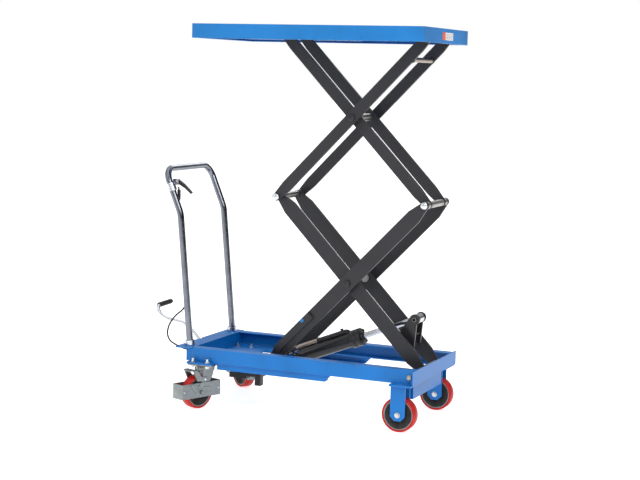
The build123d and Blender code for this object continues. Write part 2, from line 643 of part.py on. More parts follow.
def build_pump():
    body = block(-305, -242, -40, 40, 100, 166)
    body = fillet(body.edges().filter_by(Axis.Z), 6)
    body += block(-268, -244, -34, -8, 66, 101)
    body += block(-375, -300, PEDAL_Y - 16, PEDAL_Y + 16, 90, 110)
    body -= between((PLUNGER_X, PEDAL_Y, 93), (PLUNGER_X, PEDAL_Y, 112), 8 + RUNNING)
    x, z = PEDAL_PIVOT
    for side in (-1, 1):
        y0, y1 = sorted((PEDAL_Y + side * 9.3, PEDAL_Y + side * 14))
        body += block(x - 12, -300, y0, y1, 104, z + 12)
    body -= across(x, z, PEDAL_Y - 15, PEDAL_Y + 15, 5 + RUNNING)
    vx, vz = VALVE_PIVOT
    body -= across(vx, vz, -41, -25, 4 + RUNNING)
    tank = between((-241.9, 12, 138), (-150, 12, 138), 24)
    tank = fillet(tank.edges().filter_by(GeomType.CIRCLE).sort_by(Axis.X)[-1], 6)
    foot_x = RAM_FOOT[0]
    pipe_line = FilletPolyline((-149.9, 12, 138), (foot_x, 12, 138), (foot_x, 12, TRAY_LOW_Z - 0.1), radius=8)
    pipe = sweep(Plane(origin=pipe_line @ 0, z_dir=pipe_line % 0) * Circle(4), path=pipe_line)
    save("pump_unit", [body, tank, pipe])
    save("pump_plunger", [between((PLUNGER_X, PEDAL_Y, 105), (PLUNGER_X, PEDAL_Y, 122.5), 8)])

    lever = block(vx - 8, vx + 8, -46, -41.5, vz - 8, vz + 34)
    lever += across(vx, vz, -46, -26, 4)
    save("valve_lever", [fillet(lever.edges().filter_by(Axis.Y).sort_by(Axis.Z)[-2:], 3)])


def build_pedal():
    x, z = PEDAL_PIVOT
    points = [(px, PEDAL_Y, pz) for px, pz in PEDAL_ROUTE]
    end_x, end_z = PEDAL_ROUTE[-1]
    points.append((end_x, PEDAL_Y + GRIP_LENGTH + 14, end_z + 3))
    line = FilletPolyline(*points, radius=PEDAL_RADII)
    rod = sweep(Plane(origin=line @ 0, z_dir=line % 0) * Circle(6.5), path=line)
    rod += across(x, z, PEDAL_Y - 8.7, PEDAL_Y + 8.7, 12)
    rod += across(x, z, PEDAL_Y - 16, PEDAL_Y + 16, 5)
    start = PEDAL_Y + 14
    grip = between((end_x, start, end_z + 0.3), (end_x, start + GRIP_LENGTH, end_z + 3), 10)
    grip = fillet(grip.edges().filter_by(GeomType.CIRCLE), 2)
    save("pedal_grip", [grip - rod])
    save("pedal_rod", [rod])


# Handle, lever and cable
KINK = (-524, 728)
HANDLE_TOP = (-594, 896)
LEVER_PIVOT = (-556, 850)
LEVER_Y = -152
CABLE_ROUTE = [(-550, -152, 828), (-545, -158, 796), (-536, -172, 758), (-520, -180, 690), (-491, -180, 392),
               (-507, -181, 362), (-538, -185, 338), (-561, -192, 302), (-564, -202, 268), (-546, -212, 243),
               (-517, -216, 231), (-494, -202, 218), (-484, -172, 208), (-478, -138, 198), (-474, -100, 181),
               (-460, -66, 160), (-422, -54, 150), (-370, -58, 146), (-316, -62, 142), (-266, -52, 146)]


def cable_line():
    """The cable's route: straight runs joined by arcs as large as the runs allow."""
    points = [Vector(*point) for point in CABLE_ROUTE]
    radii = []
    for before, here, after in zip(points, points[1:], points[2:]):
        half_turn = math.radians((here - before).get_angle(after - here) / 2)
        shorter = min((here - before).length, (after - here).length)
        radii.append(0.45 * shorter / math.tan(half_turn))
    return FilletPolyline(*points, radius=radii)


def cable_tube(line, radius):
    return sweep(Plane(origin=line @ 0, z_dir=line % 0) * Circle(radius), path=line)


def build_handle():
    foot = RAIL_TOP_Z + 1.4
    left = [(REAR_POST_X, -POST_Y, foot), (KINK[0], -POST_Y, KINK[1]), (HANDLE_TOP[0], -POST_Y, HANDLE_TOP[1])]
    right = [(x, -y, z) for x, y, z in reversed(left)]
    line = FilletPolyline(*left, *right, radius=[120, 52, 52, 120])
    section = Circle(TUBE_RADIUS) - Circle(TUBE_RADIUS - 2)
    tube = sweep(Plane(origin=line @ 0, z_dir=line % 0) * section, path=line)
    cable = cable_line()
    tube -= cable_tube(cable, CABLE_RADIUS + 1.5)
    save("handle_tube", [tube])
    sleeve = cable_tube(cable, CABLE_RADIUS)
    arcs = [edge.radius for edge in cable.edges().filter_by(GeomType.CIRCLE)]
    print("cable radii", sorted(round(radius) for radius in arcs))
    print("cable length", round(cable.length), "volume share",
          round(sleeve.volume / (math.pi * CABLE_RADIUS ** 2 * cable.length), 3))
    save("release_cable", [sleeve])

    lean = math.atan2(REAR_POST_X - KINK[0], KINK[1] - foot)
    sockets = []
    for side in (-1, 1):
        start = (REAR_POST_X, side * POST_Y, foot)
        end = (REAR_POST_X - 18 * math.tan(lean), side * POST_Y, foot + 18)
        ring = between(start, end, 18) - between((start[0] + 1, start[1], start[2] - 10),
                                                 (end[0] - 1, end[1], end[2] + 10), TUBE_RADIUS + 0.4)
        sockets.append(ring - block(-600, -400, -300, 300, 200, RAIL_TOP_Z))
    save("handle_sockets", sockets)


REAR_POST_X = -475


def build_release():
    """The clamp on the handle and the squeeze lever that pulls the cable."""
    x, z = LEVER_PIVOT
    low = Vector(-560, -POST_Y, 814)
    high = Vector(-571.5, -POST_Y, 842)
    clamp = between(low, high, TUBE_RADIUS + 5) - between(low - (high - low), high + (high - low), TUBE_RADIUS + 0.3)
    for y in (LEVER_Y - 7, LEVER_Y + 5):
        clamp += block(x - 16, x + 8, y, y + 3, z - 14, z + 8)
    clamp += block(x - 17, x - 10, -POST_Y + 6, LEVER_Y + 8, z - 14, z - 5)
    clamp -= between(low - (high - low), high + (high - low), TUBE_RADIUS + 0.3)
    clamp -= across(x, z, LEVER_Y - 8, LEVER_Y + 9, 3 + RUNNING)
    save("release_clamp", [clamp])
    blade = Polygon((-8, -6), (2, -8), (34, -26), (60, -46), (66, -42), (60, -34), (34, -10), (8, 7), (-6, 6),
                    align=None)
    lever = extrude(side_plane(x, LEVER_Y + 0.5, z) * blade, amount=4, both=True)
    lever += across(x, z, LEVER_Y - 8, LEVER_Y + 9, 3)
    save("release_lever", [lever])


PROP_FROM = 32
PROP_TO = 234
PROP_PIVOT = 220
PROP_OUT = 11


def build_prop():
    """The bar that is swung down to hold the arms up during maintenance."""
    outline = Pos((PROP_FROM + PROP_TO) / 2, PROP_OUT) * Rectangle(PROP_TO - PROP_FROM, 27)
    plane = side_plane(BACK_PIVOT_X, -OUTER_FACE - GAP - 4, BASE_PIVOT_Z, ARM_ANGLE)
    bar = extrude(plane * outline, amount=4, both=True)
    head = extrude(plane.offset(4) * Pos(PROP_PIVOT, PROP_OUT) * Circle(7), amount=2)
    save("safety_prop", [bar + head])


os.makedirs("parts", exist_ok=True)
build_rails()
build_ends()
build_tray()
build_caster_plates()
build_bolts()
build_rigid_casters()
build_swivel_casters()
build_arms()
build_fixed_pivot()
build_shafts()
build_rollers()
build_deck()
build_ram()
build_lever()
build_saddle()
build_pump()
build_pedal()
build_handle()
build_release()
build_prop()
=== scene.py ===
"""Looks of a hand-moved hydraulic lift table with a two-stage scissor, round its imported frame."""
import json
import logging
import math
from dataclasses import dataclass
from enum import Enum
from typing import Any, Mapping, Optional, Sequence, Union

import bmesh
import bpy
from mathutils import Matrix, Vector, noise


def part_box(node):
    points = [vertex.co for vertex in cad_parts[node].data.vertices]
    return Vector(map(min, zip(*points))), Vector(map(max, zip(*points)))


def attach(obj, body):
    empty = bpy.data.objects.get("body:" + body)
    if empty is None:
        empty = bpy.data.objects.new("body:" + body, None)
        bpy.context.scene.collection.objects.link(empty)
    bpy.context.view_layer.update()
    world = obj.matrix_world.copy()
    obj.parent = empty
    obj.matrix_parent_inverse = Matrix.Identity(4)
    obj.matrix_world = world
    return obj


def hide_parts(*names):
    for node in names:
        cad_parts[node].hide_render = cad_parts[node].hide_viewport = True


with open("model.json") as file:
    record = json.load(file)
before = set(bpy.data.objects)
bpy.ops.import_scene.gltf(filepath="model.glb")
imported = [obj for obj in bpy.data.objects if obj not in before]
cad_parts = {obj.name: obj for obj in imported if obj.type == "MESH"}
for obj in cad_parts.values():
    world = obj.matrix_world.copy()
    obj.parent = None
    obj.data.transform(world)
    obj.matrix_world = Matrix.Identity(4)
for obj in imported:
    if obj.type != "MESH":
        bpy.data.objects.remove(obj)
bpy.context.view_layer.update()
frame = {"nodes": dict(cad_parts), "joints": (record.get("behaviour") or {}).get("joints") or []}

LOG = logging.getLogger("lift_table")
MM = 0.001
SHARP = 40.0
UP = Vector((0.0, 0.0, 1.0))
ACROSS = Vector((0.0, 1.0, 0.0))
FORWARD = Vector((1.0, 0.0, 0.0))
Triple = tuple[float, float, float]
Colour = Triple
Outline = Sequence[tuple[float, float]]
EVEN: Triple = (1.0, 1.0, 1.0)


class Side(Enum):
    """The two sides of the table, with the sign of their Y."""

    NEAR = -1
    FAR = 1

    @property
    def word(self) -> str:
        """The side's name as it stands in node and body names."""
        return self.name.lower()

    @property
    def outward(self) -> Vector:
        """The direction away from the centre plane."""
        return ACROSS * self.value


class Slot(Enum):
    """The record's material slots."""

    BLUE = "blue_paint"
    BLACK = "black_paint"
    ZINC = "zinc"
    CHROME = "chrome"
    STEEL = "bare_steel"
    TREAD = "red_tread"
    HUB = "cast_hub"
    RUBBER = "black_rubber"


# Places, read from the frame
def joint(name: str) -> Mapping[str, Any]:
    """Finds a joint's entry in the frame.

    Args:
        name: The joint's name.

    Returns:
        The entry.
    """
    return next(entry for entry in frame["joints"] if entry["name"] == name)


def pivot(name: str) -> Vector:
    """Gives the point that a joint turns about.

    Args:
        name: The joint's name.

    Returns:
        The point at rest, in metres.
    """
    return Vector(joint(name)["pos_m"])


def joint_axis(name: str) -> Vector:
    """Gives the direction of a joint's axis.

    Args:
        name: The joint's name.

    Returns:
        A unit vector.
    """
    return Vector(joint(name)["axis"]).normalized()


def middle(node: str) -> Vector:
    """Gives the centre of a node's box.

    Args:
        node: The node's name.

    Returns:
        The centre at rest, in metres.
    """
    low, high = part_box(node)
    return (low + high) / 2


def midline(node: str) -> Vector:
    """Gives the centre of a node's box, moved onto the table's centre plane."""
    centre = middle(node)
    return Vector((centre.x, 0.0, centre.z))


def spot(x: float, y: float, z: float) -> Vector:
    """Gives a point of the row frame.

    Args:
        x: Its X, in millimetres.
        y: Its Y, in millimetres.
        z: Its Z, in millimetres.

    Returns:
        The point, in metres.
    """
    return Vector((x * MM, y * MM, z * MM))


def rectangle(left: float, right: float, bottom: float, top: float) -> Outline:
    """Gives a rectangle's outline.

    Args:
        left: The least first coordinate.
        right: The greatest first coordinate.
        bottom: The least second coordinate.
        top: The greatest second coordinate.

    Returns:
        The four corners.
    """
    return (left, bottom), (right, bottom), (right, top), (left, top)


# Materials
class Signal:
    """An output socket of a material, with a number's arithmetic where it carries a number."""

    def __init__(self, graph: "Graph", socket: Any) -> None:
        """Keeps the socket and the graph that it belongs to."""
        self.graph = graph
        self.socket = socket

    def maths(self, operation: str, first: "Number", second: "Number" = 0.0) -> "Signal":
        """Adds one Math node.

        Args:
            operation: The Math node's operation.
            first: The first operand.
            second: The second operand.

        Returns:
            The result.
        """
        return self.graph.node("ShaderNodeMath", {"operation": operation}, {0: first, 1: second})

    def __add__(self, other: "Number") -> "Signal":
        """Adds."""
        return self.maths("ADD", self, other)

    def __radd__(self, other: "Number") -> "Signal":
        """Adds, from the right."""
        return self.maths("ADD", other, self)

    def __sub__(self, other: "Number") -> "Signal":
        """Subtracts."""
        return self.maths("SUBTRACT", self, other)

    def __rsub__(self, other: "Number") -> "Signal":
        """Subtracts this from a number."""
        return self.maths("SUBTRACT", other, self)

    def __mul__(self, other: "Number") -> "Signal":
        """Multiplies."""
        return self.maths("MULTIPLY", self, other)

    def __rmul__(self, other: "Number") -> "Signal":
        """Multiplies, from the right."""
        return self.maths("MULTIPLY", other, self)

    def ease(self, low: float, high: float) -> "Signal":
        """Rises smoothly from 0 to 1.

        Args:
            low: The value that gives 0.
            high: The value that gives 1.

        Returns:
            The eased value.
        """
        return self.graph.node("ShaderNodeMapRange", {"interpolation_type": "SMOOTHSTEP"},
                               {0: self, 1: low, 2: high})


Number = Union[float, Signal]
Tint = Union[Colour, Signal]


class Graph:
    """The node tree of one material or of the world."""

    EDGE_SAMPLES = 4

    def __init__(self, tree: bpy.types.NodeTree) -> None:
        """Empties the tree and keeps it."""
        self.tree = tree
        tree.nodes.clear()

    def node(self, kind: str, settings: Optional[Mapping[str, Any]] = None,
             inputs: Optional[Mapping[Union[int, str], Any]] = None,
             output: Union[int, str] = 0) -> Signal:
        """Adds a node of any type.

        Args:
            kind: The node's type.
            settings: Its properties; stops are a colour ramp's pairs of place and colour.
            inputs: Its sockets' values or links, by name or number.
            output: The socket to return, where the node has one.

        Returns:
            The chosen output.
        """
        made = self.tree.nodes.new(kind)
        for key, value in (settings or {}).items():
            if key == "stops":
                self._set_stops(made.color_ramp.elements, value)
            else:
                setattr(made, key, value)
        for key, value in (inputs or {}).items():
            if isinstance(value, Signal):
                self.tree.links.new(value.socket, made.inputs[key])
            elif made.inputs[key].type == "RGBA" and len(value) == 3:
                made.inputs[key].default_value = (*value, 1.0)
            else:
                made.inputs[key].default_value = value
        return Signal(self, made.outputs[output] if made.outputs else None)

    @staticmethod
    def _set_stops(elements: Any, stops: Sequence[tuple[float, float]]) -> None:
        """Sets a grey ramp's stops.

        Args:
            elements: The ramp's elements.
            stops: Pairs of place and brightness, at least two.
        """
        while len(elements) < len(stops):
            elements.new(0.5)
        for element, (place, grey) in zip(elements, stops):
            element.position = place
            element.color = (grey, grey, grey, 1.0)

    def place(self, stretch: Triple = EVEN) -> Signal:
        """Gives the surface point in the row frame.

        Args:
            stretch: A factor for each axis.

        Returns:
            The point as a vector.
        """
        point = self.node("ShaderNodeTexCoord", output="Object")
        return self.node("ShaderNodeMapping", {}, {"Vector": point, "Scale": stretch})

    def cloud(self, size: float, detail: float = 3.0, roughness: float = 0.5,
              stretch: Triple = EVEN) -> Signal:
        """Gives soft noise from 0 to 1.

        Args:
            size: The size of a typical blotch, in millimetres.
            detail: How many finer layers there are.
            roughness: How strong the finer layers are.
            stretch: A factor for each axis.

        Returns:
            The noise.
        """
        return self.node("ShaderNodeTexNoise", {}, {
            "Vector": self.place(stretch), "Scale": 1 / (size * MM), "Detail": detail,
            "Roughness": roughness})

    def cells(self, size: float) -> Signal:
        """Gives cellular noise.

        Args:
            size: The size of a cell, in millimetres.

        Returns:
            The distance to a cell's middle.
        """
        return self.node("ShaderNodeTexVoronoi", {}, {"Vector": self.place(), "Scale": 1 / (size * MM)})

    def rounded(self, radius: float) -> Signal:
        """Gives the normal of a surface whose sharp edges are rounded.

        Args:
            radius: The rounding, in millimetres.

        Returns:
            The normal.
        """
        return self.node("ShaderNodeBevel", {"samples": self.EDGE_SAMPLES}, {"Radius": radius * MM})

    def edges(self, radius: float) -> Signal:
        """Gives 0 on open faces and about 0.3 at a sharp edge.

        Args:
            radius: How far an edge reaches, in millimetres.

        Returns:
            The nearness of an edge.
        """
        plain = self.node("ShaderNodeNewGeometry", output="Normal")
        alike = self.node("ShaderNodeVectorMath", {"operation": "DOT_PRODUCT"},
                          {0: self.rounded(radius), 1: plain}, "Value")
        return 1 - alike

    def facing_up(self) -> Signal:
        """Gives how far the surface faces up, from -1 to 1."""
        normal = self.node("ShaderNodeTexCoord", output="Normal")
        return self.node("ShaderNodeSeparateXYZ", {}, {0: normal}, "Z")

    def blend(self, factor: Number, low: Tint, high: Tint) -> Signal:
        """Mixes two colours.

        Args:
            factor: 0 for the first colour and 1 for the second.
            low: The first colour.
            high: The second colour.

        Returns:
            The mixed colour.
        """
        return self.node("ShaderNodeMix", {"data_type": "RGBA"}, {0: factor, 6: low, 7: high}, 2)

    def surface(self, varying: Mapping[str, Any], fixed: Mapping[str, Any], height: Number,
                depth: float, rounding: float) -> None:
        """Ends the tree with a Principled shader.

        Args:
            varying: The sockets that change over the surface.
            fixed: The sockets that hold one value.
            height: The bump's height, about 0 to 1.
            depth: What a height of 1 stands for, in millimetres.
            rounding: The rounding of sharp edges, in millimetres.
        """
        bump = self.node("ShaderNodeBump", {}, {
            "Distance": depth * MM, "Height": height, "Normal": self.rounded(rounding)})
        shader = self.node("ShaderNodeBsdfPrincipled", {}, {**varying, **fixed, "Normal": bump})
        self.node("ShaderNodeOutputMaterial", {}, {"Surface": shader})


def scaled(colour: Colour, factor: float) -> Colour:
    """Makes a colour lighter or darker.

    Args:
        colour: The colour.
        factor: What each channel is multiplied by.

    Returns:
        The new colour, at most 1 in each channel.
    """
    red, green, blue = (min(1.0, channel * factor) for channel in colour)
    return red, green, blue


@dataclass(frozen=True)
class Finish:
    """A surface finish, made into one material when it is first used."""

    name: str
    colour: Colour
    roughness: float

    def material(self) -> bpy.types.Material:
        """Gives the finish's material, made once.

        Returns:
            The material.
        """
        found = bpy.data.materials.get(self.name)
        if found is None:
            found = bpy.data.materials.new(self.name)
            found.use_nodes = True
            found.diffuse_color = (*self.colour, 1.0)
            self.compose(Graph(found.node_tree))
        return found

    def shaded(self, graph: Graph, broad: Signal, dark: float, light: float) -> Signal:
        """Gives the colour with slow changes of tone.

        Args:
            graph: The graph that the nodes are added to.
            broad: Noise from 0 to 1.
            dark: The colour's factor where the noise is low.
            light: The colour's factor where it is high.

        Returns:
            The shaded colour.
        """
        return graph.blend(broad.ease(0.3, 0.7), scaled(self.colour, dark), scaled(self.colour, light))

    def compose(self, graph: Graph) -> None:
        """Builds the finish's nodes in an empty graph."""
        raise NotImplementedError(self.name)


@dataclass(frozen=True)
class Paint(Finish):
    """Powder coat or sprayed paint: orange peel, edges lightened for thinner paint and a painted highlight,
    chips, dust on top.
    """

    worn: Colour = (0.35, 0.36, 0.37)
    coat: float = 0.08
    shine: float = 0.3
    peel: float = 0.05
    peel_size: float = 2.4
    chips: float = 0.5
    dust: float = 0.12
    grit: float = 0.0

    def compose(self, graph: Graph) -> None:
        """Builds the paint's nodes.

        Args:
            graph: An empty graph.
        """
        broad = graph.cloud(160.0, 4.0)
        fine = graph.cloud(9.0, 5.0, 0.65)
        peel = graph.cloud(self.peel_size, 2.0)
        edge = graph.edges(1.6)
        thin_paint_and_highlight = edge.ease(0.02, 0.2)
        chip = (edge * 2.2 + fine * 0.9).ease(0.86, 0.98) * self.chips
        scuff = graph.cloud(26.0, 6.0, 0.72, (0.35, 1.0, 1.6)).ease(0.62, 0.78)
        settled = graph.facing_up().ease(0.6, 0.95) * graph.cloud(30.0, 5.0, 0.6).ease(0.35, 0.75)
        tone = self.shaded(graph, broad, 0.9, 1.1)
        # Lighter edges: partly thinner paint, partly a painted highlight.
        tone = graph.blend(thin_paint_and_highlight * 0.3, tone, scaled(self.colour, 1.9))
        tone = graph.blend(scuff * 0.1, tone, scaled(self.colour, 1.5))
        tone = graph.blend(settled * self.dust, tone, (0.42, 0.4, 0.37))
        tone = graph.blend(chip, tone, self.worn)
        gloss = self.roughness + (broad - 0.5) * 0.14 + scuff * 0.12 + settled * 0.2 + chip * 0.15
        height = peel + fine * (0.3 + self.grit) - chip * 1.5
        graph.surface({"Base Color": tone, "Roughness": gloss}, {
            "Coat Weight": self.coat, "Coat Roughness": 0.22, "Specular IOR Level": self.shine},
            height, self.peel, 0.9)


@dataclass(frozen=True)
class Metal(Finish):
    """Bare or plated metal: drawn grain, spangle, smears, and edges lightened as a painted highlight."""

    stain: Colour = (0.22, 0.19, 0.16)
    stained: float = 0.12
    spangle: float = 0.0
    grain: float = 0.3
    grain_stretch: Triple = (1.0, 0.06, 1.0)
    depth: float = 0.03

    def compose(self, graph: Graph) -> None:
        """Builds the metal's nodes.

        Args:
            graph: An empty graph.
        """
        broad = graph.cloud(55.0, 4.0)
        grain = graph.cloud(1.2, 3.0, 0.6, self.grain_stretch)
        smear = graph.cloud(14.0, 5.0, 0.65)
        flake = graph.cells(7.0)
        bright = graph.edges(1.2).ease(0.02, 0.2)
        tone = self.shaded(graph, broad, 0.86, 1.1)
        tone = graph.blend(flake.ease(0.1, 0.7) * self.spangle, tone, scaled(self.colour, 0.66))
        tone = graph.blend(smear.ease(0.52, 0.78) * self.stained, tone, self.stain)
        # Lighter edges: a painted highlight.
        tone = graph.blend(bright * 0.35, tone, scaled(self.colour, 1.35))
        gloss = self.roughness + (grain - 0.5) * self.grain * 0.4 + smear.ease(0.4, 0.8) * 0.14
        gloss = gloss + flake * self.spangle * 0.2
        graph.surface({"Base Color": tone, "Roughness": gloss}, {"Metallic": 1.0},
                      grain * self.grain + flake * self.spangle, self.depth, 0.7)


@dataclass(frozen=True)
class Casting(Finish):
    """A painted iron casting with a sandy skin."""

    def compose(self, graph: Graph) -> None:
        """Builds the casting's nodes.

        Args:
            graph: An empty graph.
        """
        sand = graph.cloud(1.6, 4.0, 0.7)
        broad = graph.cloud(24.0, 4.0)
        edge = graph.edges(1.5).ease(0.02, 0.22)
        tone = self.shaded(graph, broad, 0.75, 1.3)
        tone = graph.blend(sand.ease(0.55, 0.8) * 0.3, tone, scaled(self.colour, 1.9))
        tone = graph.blend(edge * 0.6, tone, (0.3, 0.3, 0.29))
        graph.surface({"Base Color": tone, "Roughness": self.roughness + (sand - 0.5) * 0.3},
                      {"Specular IOR Level": 0.5}, sand, 0.16, 0.9)


@dataclass(frozen=True)
class Elastomer(Finish):
    """Moulded rubber or polyurethane, scuffed where it rolls or is held."""

    scuffed: Colour = (0.2, 0.2, 0.2)
    scuffing: float = 0.25

    def compose(self, graph: Graph) -> None:
        """Builds the elastomer's nodes.

        Args:
            graph: An empty graph.
        """
        broad = graph.cloud(22.0, 4.0)
        skin = graph.cloud(0.9, 3.0, 0.6)
        scuff = graph.cloud(5.0, 6.0, 0.7).ease(0.5, 0.72)
        tone = self.shaded(graph, broad, 0.82, 1.12)
        tone = graph.blend(scuff * self.scuffing, tone, self.scuffed)
        gloss = self.roughness + (broad - 0.5) * 0.1 + scuff * 0.18
        graph.surface({"Base Color": tone, "Roughness": gloss}, {"Specular IOR Level": 0.3},
                      skin + scuff * 0.3, 0.035, 0.6)


@dataclass(frozen=True)
class Film(Finish):
    """A printed label's plain colour under a clear film."""

    def compose(self, graph: Graph) -> None:
        """Builds the film's nodes.

        Args:
            graph: An empty graph.
        """
        fade = graph.cloud(12.0, 3.0)
        speck = graph.cloud(1.0, 3.0)
        tone = self.shaded(graph, fade, 0.93, 1.0)
        graph.surface({"Base Color": tone, "Roughness": self.roughness + (fade - 0.5) * 0.15},
                      {"Coat Weight": 0.5, "Coat Roughness": 0.1}, speck, 0.012, 0.1)


@dataclass(frozen=True)
class Ground(Finish):
    """The studio's pale floor, lit a little from below like a light table."""

    glow: float = 0.68

    def compose(self, graph: Graph) -> None:
        """Builds the floor's nodes.

        Args:
            graph: An empty graph.
        """
        shade = graph.cloud(900.0, 3.0)
        tone = graph.blend(shade, scaled(self.colour, 0.985), self.colour)
        graph.surface({"Base Color": tone, "Roughness": self.roughness}, {
            "Emission Color": EVEN, "Emission Strength": self.glow,
            "Specular IOR Level": 0.1}, shade, 0.1, 0.1)


DECK_BLUE = Paint("deck_blue", (0.009, 0.168, 0.47), 0.36, worn=(0.3, 0.42, 0.6), peel=0.045)
FRAME_BLUE = Paint("frame_blue", (0.001, 0.15, 0.48), 0.38, worn=(0.32, 0.42, 0.55), peel=0.06)
ARM_BLACK = Paint("arm_black", (0.022, 0.022, 0.026), 0.48, worn=(0.2, 0.2, 0.2), coat=0.12,
                  peel=0.07, peel_size=1.6, chips=0.35, dust=0.1, grit=0.3)
RAM_BLACK = Paint("ram_black", (0.016, 0.016, 0.018), 0.33, worn=(0.16, 0.15, 0.14), coat=0.15,
                  peel=0.035, chips=0.4, dust=0.18)
PUMP_BLACK = Paint("pump_black", (0.02, 0.02, 0.022), 0.45, worn=(0.14, 0.14, 0.14), coat=0.1,
                   peel=0.14, peel_size=1.4, chips=0.4, dust=0.25, grit=0.6)
CHROME = Metal("chrome_tube", (0.5, 0.52, 0.56), 0.1, stained=0.03, grain=0.08, depth=0.004)
# A darker copy of the chrome, for the handle tube alone: painted shade for its darker reflections.
SHADED_TUBE_CHROME = Metal("handle_chrome", (0.19, 0.205, 0.24), 0.13, stained=0.05, grain=0.1, depth=0.004)
PLATED = Metal("bright_zinc", (0.66, 0.68, 0.7), 0.27, stained=0.07, grain=0.3)
GALVANISED = Metal("galvanised_sheet", (0.32, 0.345, 0.345), 0.42, stained=0.12, spangle=0.35,
                   grain=0.15, depth=0.05)
BARE = Metal("turned_steel", (0.34, 0.33, 0.32), 0.34, stained=0.35, grain=0.7,
             grain_stretch=(0.05, 1.0, 0.05))
BROWNED = Metal("browned_steel", (0.36, 0.31, 0.27), 0.4, stain=(0.16, 0.1, 0.06), stained=0.5,
                grain=0.5)
OILED = Metal("oiled_steel", (0.2, 0.19, 0.18), 0.36, stained=0.4, grain=0.5,
              grain_stretch=(0.05, 1.0, 0.05))
IRON = Casting("hub_casting", (0.045, 0.042, 0.038), 0.5)
RIM_GREY = Casting("hub_rim", (0.28, 0.28, 0.27), 0.45)
RED_TREAD = Elastomer("red_polyurethane", (0.5, 0.01, 0.006), 0.42, scuffed=(0.3, 0.05, 0.04),
                      scuffing=0.12)
GRIP_RUBBER = Elastomer("grip_rubber", (0.018, 0.018, 0.02), 0.5)
CABLE_SHEATH = Elastomer("cable_sheath", (0.012, 0.012, 0.013), 0.38, scuffing=0.1)
LABEL_WHITE = Film("label_white", (0.86, 0.86, 0.85), 0.35)
LABEL_ORANGE = Film("label_orange", (0.85, 0.11, 0.02), 0.35)
LABEL_GREY = Film("label_grey", (0.45, 0.42, 0.45), 0.35)
FLOOR = Ground("studio_floor", (0.85, 0.85, 0.85), 0.8)


